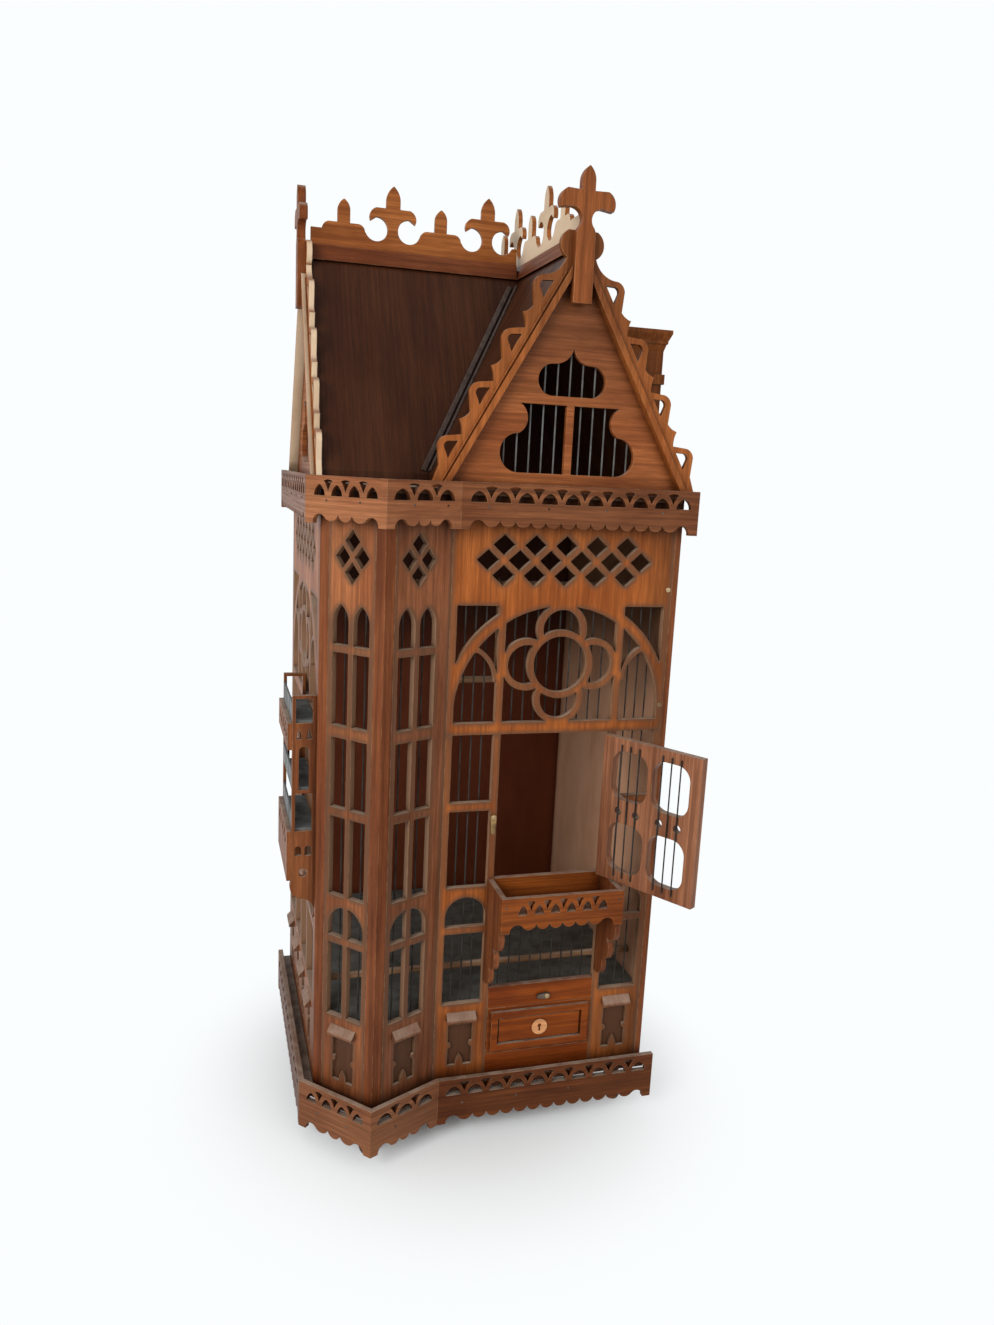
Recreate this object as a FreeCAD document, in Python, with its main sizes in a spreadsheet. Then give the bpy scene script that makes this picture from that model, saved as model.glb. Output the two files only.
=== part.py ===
"""Gothic fret-sawn bird cage in the shape of a house, as a parametric document in millimetres.

Plan: the front wall runs along +X with its left corner at the house's own zero, a two-panel bay juts
from the front left corner, the left wall runs back along +Y, and the right and back walls are solid.
Two roofs of the same pitch cross: the main one runs front to back, the wing runs to the left gable.
"""
import FreeCAD, Part
import math
import os
from FreeCAD import Placement, Rotation, Vector

# Driving dimensions
SIZES = {
    # plan
    "front_width": 250, "house_depth": 332, "left_reach": 132, "bay_setback": 25, "bay_out": 48.75,
    "fret_thick": 7, "solid_thick": 7, "post_face": 12, "post_depth": 9,
    # base
    "base_height": 58, "base_thick": 8, "apron_reach": 10, "apron_thick": 6, "apron_end": 10,
    "skirt_height": 55, "skirt_lip": 10, "foot_radius": 10, "foot_tread": 7, "foot_neck": 6,
    "foot_inset": 22, "bun_height": 20,
    # fretted apron boards
    "arch_pitch": 24, "arcade_margin": 18, "arch_strip": 4, "arch_foot": 19.5, "arch_top": 8.5,
    "spandrel_top": 5, "spandrel_point": 15.5, "apron_tab": 10, "bite_width": 15, "scallop_pitch": 16,
    "scallop_low": 3, "scallop_high": 9.5, "cornice_height": 47, "cornice_drop": 34,
    # heights up the walls, each standing on the one before
    "rail_rise": 27, "drawer_height": 57, "floor_thick": 6, "sill_lip": 4, "lower_light": 85,
    "transom_thick": 8, "arched_light": 35, "arch_jamb": 12, "rail_thick": 12, "middle_light": 88,
    "bar_thick": 10, "upper_light": 76, "lintel_thick": 13, "frieze_height": 114, "frame_thick": 6,
    "frame_width": 14, "sill_rail": 26,
    # widths across the walls
    "stile_width": 7.5, "mullion_width": 8, "light_width": 46,
    # tracery
    "arch_spring": 20, "arch_shoulder": 56, "arch_band": 12, "tracery_band": 7, "foil_seat": 3,
    "foil_lap": 1.6, "ring_bite": 7.5, "lancet_lift": 45, "lancet_rise": 32, "lancet_band": 6,
    "fret_lap": 1, "lattice_lift": 48, "lattice_pitch": 34.5, "lattice_step": 16, "lattice_bar": 4.6,
    # bay panels
    "bay_stile": 6, "bay_mullion": 6, "bay_lancet_light": 42, "bay_bar_thick": 8, "bay_lancet_rise": 19,
    "bay_diamond_pitch": 24, "bay_lattice_bar": 2.5,
    # dado
    "recess_depth": 3, "recess_lift": 18, "recess_height": 50, "recess_half": 14,
    "cap_gap": 6, "cap_width": 34, "cap_height": 10, "cap_reach": 7,
    # gables
    "eave": 15, "roof_rise": 239, "roof_drop": 13, "gable_thick": 6, "gable_inset": 4,
    "window_low": 18.5, "window_half": 54.5, "window_lobe": 20, "bump_height": 30, "bump_depth": 8.5,
    "gable_bar": 9, "eye_half": 37, "eye_lobe": 16, "eye_rise": 48,
    "barge_thick": 6, "barge_inner": 11, "barge_outer": 3, "mould_thick": 5, "mould_width": 6,
    "crocket_first": 45, "crocket_pitch": 62, "crocket_length": 38.5, "crocket_reach": 16.5,
    "crocket_ring": 6, "beak_rise": 10, "apex_neck": 15.5, "apex_lobe": 23, "apex_rise": 6, "lobe_height": 26,
    "finial_drop": 64, "finial_rise": 65, "finial_width": 20, "finial_thick": 9, "finial_bite": 11,
    "finial_stem": 4.9, "finial_arm": 28.5, "finial_leaf": 7, "bite_height": 15,
    # ridges and chimney
    "ridge_drop": 12, "ridge_wing": 3, "ridge_rise": 5, "ridge_half": 5, "crest_thick": 5,
    "crest_flat": 0.7, "crest_margin": 3, "crest_body": 18, "crest_hump": 26, "hump_half": 16,
    "crest_leaf": 51, "leaf_half": 7, "crest_cross": 70, "cross_stem": 5.8, "cross_bite": 13,
    "bite_centre": 23, "cross_arm": 25.5, "arm_top": 46,
    "chimney_width": 54, "chimney_depth": 54, "chimney_front": 82, "chimney_drop": 69,
    "chimney_slab": 4, "chimney_cove": 8, "chimney_fillet": 3, "chimney_reach": 7, "belt_drop": 48,
    "belt_height": 11, "belt_reach": 2.5,
    # wires
    "wire_radius": 0.9, "wire_pitch": 13.7, "wire_gap": 0.2,
    # feed box
    "feed_over": 6.5, "feed_reach": 50, "feed_thick": 6, "feed_lift": 8, "feed_inside": 29,
    "feed_front": 40, "feed_back": 46, "bracket_height": 122, "feed_board": 5,
    "feed_arch_pitch": 18.4, "feed_margin": 24,
    # door
    "door_gap": 1, "door_thick": 9, "door_open": 121, "hinge_offset": 2.5, "hinge_radius": 2.2,
    "pin_radius": 1, "pin_play": 0.1, "knuckle_gap": 0.3, "hinge_length": 18, "hinge_leaf": 7,
    "hinge_leaf_thick": 1, "hinge_rise": 24, "door_rail": 13, "door_mid_rail": 26, "door_mullion": 6.5,
    "door_corner": 16, "door_eye": 4.5, "catch_lift": 71, "catch_length": 20, "catch_half": 3.4,
    "catch_thick": 1.6, "catch_gap": 0.4,
    # drawer
    "drawer_gap": 0.4, "drawer_depth": 170, "drawer_wall": 5, "drawer_drop": 11, "drawer_margin": 4,
    "drawer_mould": 8, "drawer_mould_rise": 4, "drawer_field": 2, "runner_width": 12,
    "plate_radius": 9.5, "plate_thick": 1.2, "key_radius": 2, "button_length": 26, "button_half": 3.5,
    "button_thick": 3, "button_lift": 10, "button_shift": 7,
    # oriel
    "oriel_reach": 25, "oriel_length": 120, "oriel_thick": 5, "oriel_drop": 26, "oriel_ogee": 44,
    "oriel_apron": 56, "oriel_lower": 46, "oriel_upper": 45, "oriel_band": 29, "oriel_head": 30,
    "oriel_stile": 3.5, "shelf_thick": 2, "shelf_lip": 20,
    # inside
    "perch_radius": 4, "perch_play": 0.3, "perch_lift": 26, "perch_head": 10, "high_perch_back": 112,
    "swing_left": 20, "swing_width": 64, "swing_drop": 112, "swing_wire": 1.1, "swing_ring": 6.8,
}

# Sizes that follow from the driving ones, kept in the same sheet
FOLLOWING = {
    "base_top": "=base_height + base_thick",
    "drawer_foot": "=base_top + rail_rise",
    "floor_height": "=drawer_foot + drawer_height",
    "sill_height": "=floor_height + floor_thick + sill_lip",
    "transom_height": "=sill_height + lower_light",
    "transom_top": "=transom_height + transom_thick",
    "rail_height": "=transom_top + arched_light",
    "rail_top": "=rail_height + rail_thick",
    "lower_bar": "=rail_top + middle_light",
    "lower_bar_top": "=lower_bar + bar_thick",
    "lintel_height": "=lower_bar_top + upper_light",
    "lintel_top": "=lintel_height + lintel_thick",
    "door_width": "=front_width - 2 * (stile_width + light_width + mullion_width)",
    "light_top": "=lintel_top + door_width",
    "frame_height": "=light_top + frieze_height",
    "wall_top": "=frame_height + frame_thick",
    "house_right": "=front_width + solid_thick",
    "back_face": "=house_depth - solid_thick",
    "left_width": "=back_face - bay_setback - post_face",
    "roof_half": "=(house_right + eave) / 2",
    "eave_top": "=wall_top + roof_drop",
    "ridge_top": "=eave_top + roof_rise",
    "feed_width": "=door_width + 2 * feed_over",
    "feed_top": "=rail_top + feed_lift",
}

doc = FreeCAD.newDocument("bird_cage")
sheet = doc.addObject("Spreadsheet::Sheet", "sizes")
for row, (alias, value) in enumerate((SIZES | FOLLOWING).items(), start=1):
    sheet.set(f"A{row}", alias)
    sheet.set(f"B{row}", str(value))
    sheet.setAlias(f"B{row}", alias)
doc.recompute()


class SheetReader:
    """Gives each named size of the sheet as an attribute."""

    def __getattr__(self, alias):
        return float(sheet.get(alias))


size = SheetReader()
nodes = []


# Outlines: lists of edges in a sketch's own plane

def point(u, w):
    return Vector(u, w, 0)


def loop(start, *steps):
    """A closed outline. A step is a point for a straight edge, or (through, end) for an arc."""
    edges = []
    here = start
    for step in steps:
        if isinstance(step[0], tuple):
            through, end = step
            edges.append(Part.Arc(point(*here), point(*through), point(*end)))
        else:
            end = step
            edges.append(Part.LineSegment(point(*here), point(*end)))
        here = end
    if (point(*here) - point(*start)).Length > 1e-6:
        edges.append(Part.LineSegment(point(*here), point(*start)))
    return edges


def mirrored(start, steps, middle):
    """The steps of an edge that began at start, walked back on the other side of an upright middle line."""
    def flip(place):
        return 2 * middle - place[0], place[1]

    ends = [start] + [step[1] if isinstance(step[0], tuple) else step for step in steps]
    back = []
    for number in range(len(steps) - 1, -1, -1):
        end = flip(ends[number])
        if isinstance(steps[number][0], tuple):
            back.append((flip(steps[number][0]), end))
        else:
            back.append(end)
    return back


def rectangle(left, low, right, high):
    return loop((left, low), (right, low), (right, high), (left, high))


def disc(u, w, radius):
    return [Part.Circle(point(u, w), Vector(0, 0, 1), radius)]


def diamond(u, w, half, rise):
    return loop((u - half, w), (u, w - rise), (u + half, w), (u, w + rise))


def arch_side(foot, apex):
    """The (through, end) step of an arc that leaves foot upright and ends at apex."""
    run = apex[0] - foot[0]
    rise = apex[1] - foot[1]
    radius = (run * run + rise * rise) / (2 * abs(run))
    centre = foot[0] + math.copysign(radius, run)
    half = math.atan2(rise, radius - abs(run)) / 2
    through = (centre - math.copysign(radius * math.cos(half), run), foot[1] + radius * math.sin(half))
    return through, apex


def arc_height(half_span, rise, top, u):
    """How high a round arch stands at u from its middle."""
    radius = (half_span ** 2 + rise ** 2) / (2 * rise)
    return top - radius + math.sqrt(radius ** 2 - u ** 2)


def lancet(left, right, low, spring, rise):
    """A pointed light."""
    apex = ((left + right) / 2, spring + rise)
    to_apex = arch_side((left, spring), apex)
    from_right, _ = arch_side((right, spring), apex)
    return loop((left, spring), to_apex, (from_right, (right, spring)), (right, low), (left, low))


def pointed_arch(middle, half, foot, tip):
    """A small arch that curves in from its foot to a point."""
    to_tip = arch_side((middle - half, foot), (middle, tip))
    from_right, _ = arch_side((middle + half, foot), (middle, tip))
    return loop((middle - half, foot), to_tip, (from_right, (middle + half, foot)))


def spandrel(middle, half, tip, brow):
    """The piercing between two pointed arches: hollow sides that meet at its foot, and a bowed head."""
    waist = (tip + brow) / 2
    return loop((middle, tip), ((middle + half * 0.4, waist), (middle + half, brow)),
                ((middle, brow + half * 0.25), (middle - half, brow)),
                ((middle - half * 0.4, waist), (middle, tip)))


def round_light(left, right, low, spring, top):
    """A light with a round head."""
    return loop((right, low), (right, spring), (((left + right) / 2, top), (left, spring)), (left, low))


def notched_recess(middle, low, high):
    """The blind panel of the dado: notched sides and a pointed leaf rising from its foot."""
    half = size.recess_half
    notch = half / 4
    waist = (low + high) / 2
    leaf = half / 3
    start = (middle, high)
    edge = [(middle - half, high), (middle - half, waist + notch),
            ((middle - half + notch, waist), (middle - half, waist - notch)), (middle - half, low),
            (middle - leaf, low), arch_side((middle - leaf, low), (middle, low + half))]
    return loop(start, *edge, *mirrored(start, edge, middle))


# Document objects

def new_body(name):
    return doc.addObject("PartDesign::Body", name)


def new_sketch(body, role, loops):
    sketch = body.newObject("Sketcher::SketchObject", body.Name + "_outline")
    plane = [item for item in body.Origin.OriginFeatures if item.Role == role][0]
    sketch.AttachmentSupport = [(plane, "")]
    sketch.MapMode = "FlatFace"
    for edges in loops:
        sketch.addGeometry(edges, False)
    return sketch


def pad(body, loops, length, role="XZ_Plane", forward=True):
    """Pad outlines to a sheet length: up from a plan, or from a face at Y = 0 back into +Y."""
    feature = body.newObject("PartDesign::Pad", body.Name + "_pad")
    feature.Profile = new_sketch(body, role, loops)
    feature.setExpression("Length", length)
    feature.Reversed = forward if role == "XZ_Plane" else not forward
    return feature


def pocket(body, loops, length):
    """Cut outlines from the face at Y = 0 back to a sheet length."""
    feature = body.newObject("PartDesign::Pocket", body.Name + "_pocket")
    feature.Profile = new_sketch(body, "XZ_Plane", loops)
    feature.setExpression("Length", length)
    return feature


def group(name, members):
    compound = doc.addObject("Part::Compound", name)
    compound.Links = members
    return compound


def fused(name, members):
    union = doc.addObject("Part::MultiFuse", name)
    union.Shapes = members
    return union


def bar(name, length, width, height, base):
    """A plain rectangular board from sheet expressions, with its low corner at base."""
    box = doc.addObject("Part::Box", name)
    box.setExpression("Length", length)
    box.setExpression("Width", width)
    box.setExpression("Height", height)
    box.Placement = at(*base)
    return box


def rod(name, radius, height, placement):
    cylinder = doc.addObject("Part::Cylinder", name)
    cylinder.setExpression("Radius", radius)
    cylinder.setExpression("Height", height)
    cylinder.Placement = placement
    return cylinder


def keep(item, label, placement=None):
    """Register a finished sub-part under the name of its file."""
    if placement is not None:
        item.Placement = placement
    item.Label = label
    nodes.append(item)
    return item


# Plan: corners of the outer wall faces

LEFT_BACK = (-size.left_reach, size.house_depth)
LEFT_FRONT = (-size.left_reach, size.bay_setback)
FRONT_LEFT = (0.0, 0.0)


def bay_corner():
    """The bay's outer corner: equally far from both of its wall corners."""
    chord = math.dist(LEFT_FRONT, FRONT_LEFT)
    along = ((FRONT_LEFT[0] - LEFT_FRONT[0]) / chord, (FRONT_LEFT[1] - LEFT_FRONT[1]) / chord)
    middle = ((LEFT_FRONT[0] + FRONT_LEFT[0]) / 2, (LEFT_FRONT[1] + FRONT_LEFT[1]) / 2)
    return middle[0] + along[1] * size.bay_out, middle[1] - along[0] * size.bay_out


BAY = bay_corner()
DOOR_LEFT = (size.front_width - size.door_width) / 2
DOOR_RIGHT = DOOR_LEFT + size.door_width


def at(x, y, z=0.0, turn=0.0):
    """A placement given in the house's plan, turned about the upright axis."""
    return Placement(Vector(x, y, z), Rotation(Vector(0, 0, 1), turn))


def heading(start, end):
    return math.degrees(math.atan2(end[1] - start[1], end[0] - start[0]))


def ahead(start, turn, along, inward=0.0):
    """A plan point some way along a heading, and to its inner (left) side."""
    angle = math.radians(turn)
    return (start[0] + along * math.cos(angle) - inward * math.sin(angle),
            start[1] + along * math.sin(angle) + inward * math.cos(angle))


LEFT_TURN = -90.0
BAY_LEFT_TURN = heading(LEFT_FRONT, BAY)
BAY_RIGHT_TURN = heading(BAY, FRONT_LEFT)


def mitre_corner(corner, turn_in, turn_out, reach):
    """Where two wall faces meet once both are moved outward by reach."""
    half = math.radians(turn_out - turn_in) / 2
    return ahead(corner, turn_in, reach * math.tan(half), -reach)


def ring_corners(reach):
    """The three corners of the fretted walls, moved outward by reach."""
    return (mitre_corner(LEFT_FRONT, LEFT_TURN, BAY_LEFT_TURN, reach),
            mitre_corner(BAY, BAY_LEFT_TURN, BAY_RIGHT_TURN, reach),
            mitre_corner(FRONT_LEFT, BAY_RIGHT_TURN, 0.0, reach))


# Base board and turned feet

left_apron, bay_apron, front_apron = ring_corners(size.apron_reach)

base_board = new_body("base_board")
pad(base_board, [loop(
    (-size.left_reach - size.apron_reach, size.house_depth), left_apron, bay_apron, front_apron,
    (size.house_right, -size.apron_reach), (size.house_right, size.house_depth))],
    "sizes.base_thick", "XY_Plane")
keep(base_board, "base_board", at(0, 0, size.base_height))


def turned(name, profile):
    """A solid turned from a half outline about the upright axis."""
    body = new_body(name)
    turning = body.newObject("PartDesign::Revolution", name + "_turning")
    sketch = new_sketch(body, "XZ_Plane", [profile])
    turning.Profile = sketch
    turning.ReferenceAxis = (sketch, ["V_Axis"])
    return body


def turned_foot(name):
    """A bun on the ground under a neck that runs up to the base board."""
    shoulder = size.bun_height
    profile = loop(
        (0, 0), (size.foot_tread, 0), ((size.foot_radius, shoulder / 2), (size.foot_tread, shoulder)),
        (size.foot_neck, shoulder), (size.foot_neck, size.base_height), (0, size.base_height))
    return turned(name, profile)


inset = size.foot_inset
foot_places = [
    (size.house_right - inset, inset), (size.house_right - inset, size.house_depth - inset),
    (inset - size.left_reach, size.house_depth - inset),
    (inset - size.left_reach, size.bay_setback + inset),
    (BAY[0], BAY[1] + inset)]
feet = []
for number, (x, y) in enumerate(foot_places):
    foot = turned_foot(f"foot_{number}")
    foot.Placement = at(x, y)
    feet.append(foot)
keep(group("bun_feet", feet), "bun_feet")


# Fretted boards with an arcade and a scalloped foot: skirt, cornice and the feed box's front

def arcade(length, top, margin, wanted_pitch):
    """A row of pointed arches with a spandrel pierced between each two."""
    run = length - 2 * margin
    gaps = max(1, round(run / wanted_pitch))
    pitch = run / gaps
    half = pitch / 2 - size.arch_strip
    cuts = [pointed_arch(margin + arch * pitch, half, top - size.arch_foot, top - size.arch_top)
            for arch in range(gaps + 1)]
    cuts += [spandrel(margin + (gap + 0.5) * pitch, pitch / 4, top - size.spandrel_point,
                      top - size.spandrel_top) for gap in range(gaps)]
    return cuts


def scalloped_foot(length):
    """What is sawn from a board's foot: a round bite beside each end's tab, and lobes between them."""
    tab = size.apron_tab
    low = size.scallop_low
    high = size.scallop_high
    seam = (low + high) / 2
    left = tab + size.bite_width
    run = length - 2 * left
    lobes = max(1, round(run / size.scallop_pitch))
    step = run / lobes
    bite = tab + size.bite_width / 2
    edge = [(tab, 0), ((bite, high), (left, seam))]
    for lobe in range(lobes):
        start = left + lobe * step
        cusp = high if lobe + 1 < lobes else seam
        edge.append(((start + step / 2, low), (start + step, cusp)))
    edge.append(((length - bite, high), (length - tab, 0)))
    edge.append((length - tab, -high))
    return loop((tab, -high), *edge)


def fretted_board(name, length, height, thick, turns, margin, pitch):
    """A board cut to its mitres in plan, then pierced and scalloped."""
    body = new_body(name)
    depth = getattr(size, thick)
    start_cut, end_cut = [depth * math.tan(math.radians(turn) / 2) for turn in turns]
    plan = loop((0, 0), (length, 0), (length - end_cut, depth), (start_cut, depth))
    pad(body, [plan], f"sizes.{height}", "XY_Plane")
    pocket(body, arcade(length, getattr(size, height), margin, pitch) + [scalloped_foot(length)],
           f"2 * sizes.{thick}")
    return body


def apron_ring(prefix, foot, height):
    """The four boards of a skirt or cornice, standing outside the walls."""
    reach = size.apron_reach + size.apron_thick
    left, bay, front = ring_corners(reach)
    back = (-size.left_reach - reach, size.house_depth)
    right = (size.house_right + size.apron_end, -reach)
    turns = (BAY_LEFT_TURN - LEFT_TURN, BAY_RIGHT_TURN - BAY_LEFT_TURN, -BAY_RIGHT_TURN)
    boards = {}
    for name, start, end, turn, corners in (
            ("left", back, left, LEFT_TURN, (0, turns[0])),
            ("bay_left", left, bay, BAY_LEFT_TURN, turns[:2]),
            ("bay_right", bay, front, BAY_RIGHT_TURN, turns[1:]),
            ("front", front, right, 0.0, (turns[2], 0))):
        board = fretted_board(f"{prefix}_{name}", math.dist(start, end), height, "apron_thick", corners,
                              size.arcade_margin, size.arch_pitch)
        board.Placement = at(start[0], start[1], foot, turn)
        boards[name] = board
    keep(boards["front"], f"{prefix}_front")
    keep(boards["left"], f"{prefix}_left")
    keep(group(f"{prefix}_bay_pair", [boards["bay_left"], boards["bay_right"]]), f"{prefix}_bay")


apron_ring("skirt", size.base_top + size.skirt_lip - size.skirt_height, "skirt_height")
apron_ring("cornice", size.frame_height - size.cornice_drop, "cornice_height")


# Corner posts of the bay

def corner_post(name, corner, turn_in, turn_out):
    """A five-sided post whose two outer faces continue the walls on either side."""
    body = new_body(name)
    back = ahead(corner, turn_in, -size.post_face)
    front = ahead(corner, turn_out, size.post_face)
    pad(body, [loop(
        corner, front, ahead(front, turn_out, 0, size.post_depth),
        ahead(back, turn_in, 0, size.post_depth), back)],
        "sizes.frame_height - sizes.base_top", "XY_Plane")
    body.Placement = at(0, 0, size.base_top)
    return body


keep(group("corner_posts", [
    corner_post("post_left", LEFT_FRONT, LEFT_TURN, BAY_LEFT_TURN),
    corner_post("post_bay", BAY, BAY_LEFT_TURN, BAY_RIGHT_TURN)]), "corner_posts")


# Tracery boards over the front and the left wall

def lattice(middle, pitch, strip, rows):
    """Rows of diamonds in the frieze, one above the other, each row given by how many it holds."""
    loops = []
    top = size.light_top + size.lattice_lift + (len(rows) - 1) / 2 * size.lattice_step
    for row, count in enumerate(rows):
        w = top - row * size.lattice_step
        for number in range(count):
            u = middle + (number - (count - 1) / 2) * pitch
            loops.append(diamond(u, w, pitch / 2 - strip, size.lattice_step - size.lattice_bar))
    return loops


def pad_lancet(body, left, right):
    """The pointed strip set in a side light."""
    band = size.lancet_band
    lap = size.fret_lap
    spring = size.lintel_top + size.lancet_lift
    middle = (left + right) / 2
    tip = (middle, spring + size.lancet_rise)
    crown = (middle, tip[1] + band)
    outer_right = arch_side((right + lap, spring), crown)
    inner_left = arch_side((left + band / 2, spring), tip)
    pad(body, [loop(
        (left - lap, spring), arch_side((left - lap, spring), crown), (outer_right[0], (right + lap, spring)),
        (right - band / 2, spring), arch_side((right - band / 2, spring), tip),
        (inner_left[0], (left + band / 2, spring)))], "sizes.fret_thick")


def pad_quatrefoil(body, middle):
    """Four rings that touch each other inside the arch, tied by a larger ring."""
    half = size.door_width / 2
    band = size.tracery_band
    reach = half + size.foil_seat - band
    diagonal = math.sqrt(0.5)
    foil = (diagonal * reach - band + size.foil_lap) / (1 + diagonal)
    offset = reach - foil
    centre = size.lintel_top + half
    for places in (((0, offset), (0, -offset)), ((offset, 0), (-offset, 0))):
        rings = []
        for u, w in places:
            rings.append(disc(middle + u, centre + w, foil + band))
            rings.append(disc(middle + u, centre + w, foil))
        pad(body, rings, "sizes.fret_thick")
    ring = offset - size.ring_bite
    pad(body, [disc(middle, centre, ring + band), disc(middle, centre, ring)], "sizes.fret_thick")
    pocket(body, [disc(middle, centre, ring)], "2 * sizes.fret_thick")


def tracery_board(name, width):
    """Lattice over a round arch that holds a quatrefoil, with a lancet in each side light."""
    body = new_body(name)
    middle = width / 2
    half = size.door_width / 2
    stile = size.stile_width
    light_end = middle - half - size.mullion_width
    low = size.lintel_top
    high = size.light_top
    spring = low + size.arch_spring
    shoulder = low + size.arch_shoulder
    haunch = arc_height(middle - stile, high - spring, high, half)
    count = int((width - 2 * stile) / size.lattice_pitch)
    loops = [rectangle(0, size.lintel_height, width, size.frame_height)]
    loops += lattice(middle, size.lattice_pitch, size.lattice_bar, (count - 1, count, count - 1))
    loops.append(rectangle(stile, low, light_end, high))
    loops.append(rectangle(width - light_end, low, width - stile, high))
    loops.append(loop((middle - half, low), (middle + half, low), (middle + half, haunch),
                      ((middle, high), (middle - half, haunch))))
    pad(body, loops, "sizes.fret_thick")
    edge = stile / 2
    pad(body, [loop(
        (edge, spring), (edge, shoulder), ((middle, high + size.arch_band), (width - edge, shoulder)),
        (width - edge, spring), (width - stile, spring), ((middle, high), (stile, spring)))],
        "sizes.fret_thick")
    pad_lancet(body, stile, light_end)
    pad_lancet(body, width - light_end, width - stile)
    pad_quatrefoil(body, middle)
    return body


LEFT_FRET = (-size.left_reach, size.back_face)
keep(tracery_board("front_tracery", size.front_width), "front_upper_tracery", at(0, 0))
keep(tracery_board("left_tracery", size.left_width), "left_upper_tracery", at(*LEFT_FRET, 0, LEFT_TURN))


# Panels with tall lights below the tracery

RECESS_LOW = size.base_top + size.recess_lift
RECESS_HIGH = RECESS_LOW + size.recess_height


def light_openings(left, right):
    """The openings of one tall light from the sill to the lower bar, the second one round-headed."""
    return [rectangle(left, size.sill_height, right, size.transom_height),
            round_light(left, right, size.transom_top, size.transom_top + size.arch_jamb, size.rail_height),
            rectangle(left, size.rail_top, right, size.lower_bar)]


def comb_outline(left, right, lights):
    """A panel outline whose upper lights are open at the top, against the tracery board's lintel."""
    top = size.lintel_height
    foot = size.lower_bar_top
    steps = [(right, size.base_top), (right, top)]
    for light_left, light_right in reversed(lights):
        steps += [(light_right, top), (light_right, foot), (light_left, foot), (light_left, top)]
    steps.append((left, top))
    return loop((left, size.base_top), *steps)


def light_panel(name, left, right, lights):
    body = new_body(name)
    loops = [comb_outline(left, right, lights)]
    for light_left, light_right in lights:
        loops += light_openings(light_left, light_right)
    pad(body, loops, "sizes.fret_thick")
    pocket(body, [notched_recess((a + b) / 2, RECESS_LOW, RECESS_HIGH) for a, b in lights],
           "sizes.recess_depth")
    return body


def side_lights(width):
    """The first and the last light of a wall, on either side of its middle opening."""
    inner = (width - size.door_width) / 2 - size.mullion_width
    return (size.stile_width, inner), (width - inner, width - size.stile_width)


first_light, last_light = side_lights(size.front_width)
keep(light_panel("front_left", 0, DOOR_LEFT, [first_light]), "front_left_panel", at(0, 0))
keep(light_panel("front_right", DOOR_RIGHT, size.front_width, [last_light]), "front_right_panel", at(0, 0))

left_first, left_last = side_lights(size.left_width)
left_middle = size.left_width / 2
half_mullion = size.mullion_width / 2
left_lights = [left_first, (left_first[1] + size.mullion_width, left_middle - half_mullion),
               (left_middle + half_mullion, left_last[0] - size.mullion_width), left_last]
keep(light_panel("left_lower", 0, size.left_width, left_lights), "left_lower_panel",
     at(*LEFT_FRET, 0, LEFT_TURN))

BAY_CLEAR = math.dist(LEFT_FRONT, BAY) - 2 * size.post_face
bay_middle = BAY_CLEAR / 2
bay_lights = [(size.bay_stile, bay_middle - size.bay_mullion / 2),
              (bay_middle + size.bay_mullion / 2, BAY_CLEAR - size.bay_stile)]


def bay_panel(name, width):
    """A tall narrow panel: four diamonds, twin lancets, barred twin lights and one round-headed light."""
    body = new_body(name)
    loops = [rectangle(0, size.base_top, width, size.frame_height)]
    loops += lattice(bay_middle, size.bay_diamond_pitch, size.bay_lattice_bar, (1, 2, 1))
    bar_top = size.light_top - size.bay_lancet_light
    spring = size.light_top - size.bay_lancet_rise
    for left, right in bay_lights:
        loops.append(lancet(left, right, bar_top, spring, size.bay_lancet_rise))
        loops.append(rectangle(left, size.lintel_top, right, bar_top - size.bay_bar_thick))
        loops.append(rectangle(left, size.lower_bar_top, right, size.lintel_height))
        loops.append(rectangle(left, size.rail_top, right, size.lower_bar))
        loops.append(rectangle(left, size.sill_height, right, size.transom_height))
    radius = bay_middle - size.bay_stile
    inner = size.bay_mullion / 2
    head = size.transom_top + size.arch_jamb
    rise = size.rail_height - head
    shoulder = arc_height(radius, rise, size.rail_height, inner)
    between = (radius + inner) / 2
    crown = arc_height(radius, rise, size.rail_height, between)
    for side in (-1, 1):
        edge = bay_middle + side * radius
        near = bay_middle + side * inner
        loops.append(loop((edge, size.transom_top), (edge, head),
                          ((bay_middle + side * between, crown), (near, shoulder)),
                          (near, size.transom_top)))
    pad(body, loops, "sizes.fret_thick")
    pocket(body, [notched_recess(bay_middle, RECESS_LOW, RECESS_HIGH)], "sizes.recess_depth")
    return body


bay_left_start = ahead(LEFT_FRONT, BAY_LEFT_TURN, size.post_face)
bay_right_start = ahead(BAY, BAY_RIGHT_TURN, size.post_face)
keep(bay_panel("bay_left", BAY_CLEAR), "bay_left_panel", at(*bay_left_start, 0, BAY_LEFT_TURN))
keep(bay_panel("bay_right", BAY_CLEAR + size.post_face), "bay_right_panel",
     at(*bay_right_start, 0, BAY_RIGHT_TURN))


# Small sloped caps over the dado recesses

def pent_cap(name, start, turn, middle):
    body = new_body(name)
    high = size.cap_height
    pad(body, [loop((0, 0), (0, high), (-size.cap_reach, high / 4), (-size.cap_reach, 0))],
        "sizes.cap_width", "YZ_Plane")
    place = ahead(start, turn, middle - size.cap_width / 2)
    body.Placement = at(place[0], place[1], RECESS_HIGH + size.cap_gap, turn)
    return body


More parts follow.
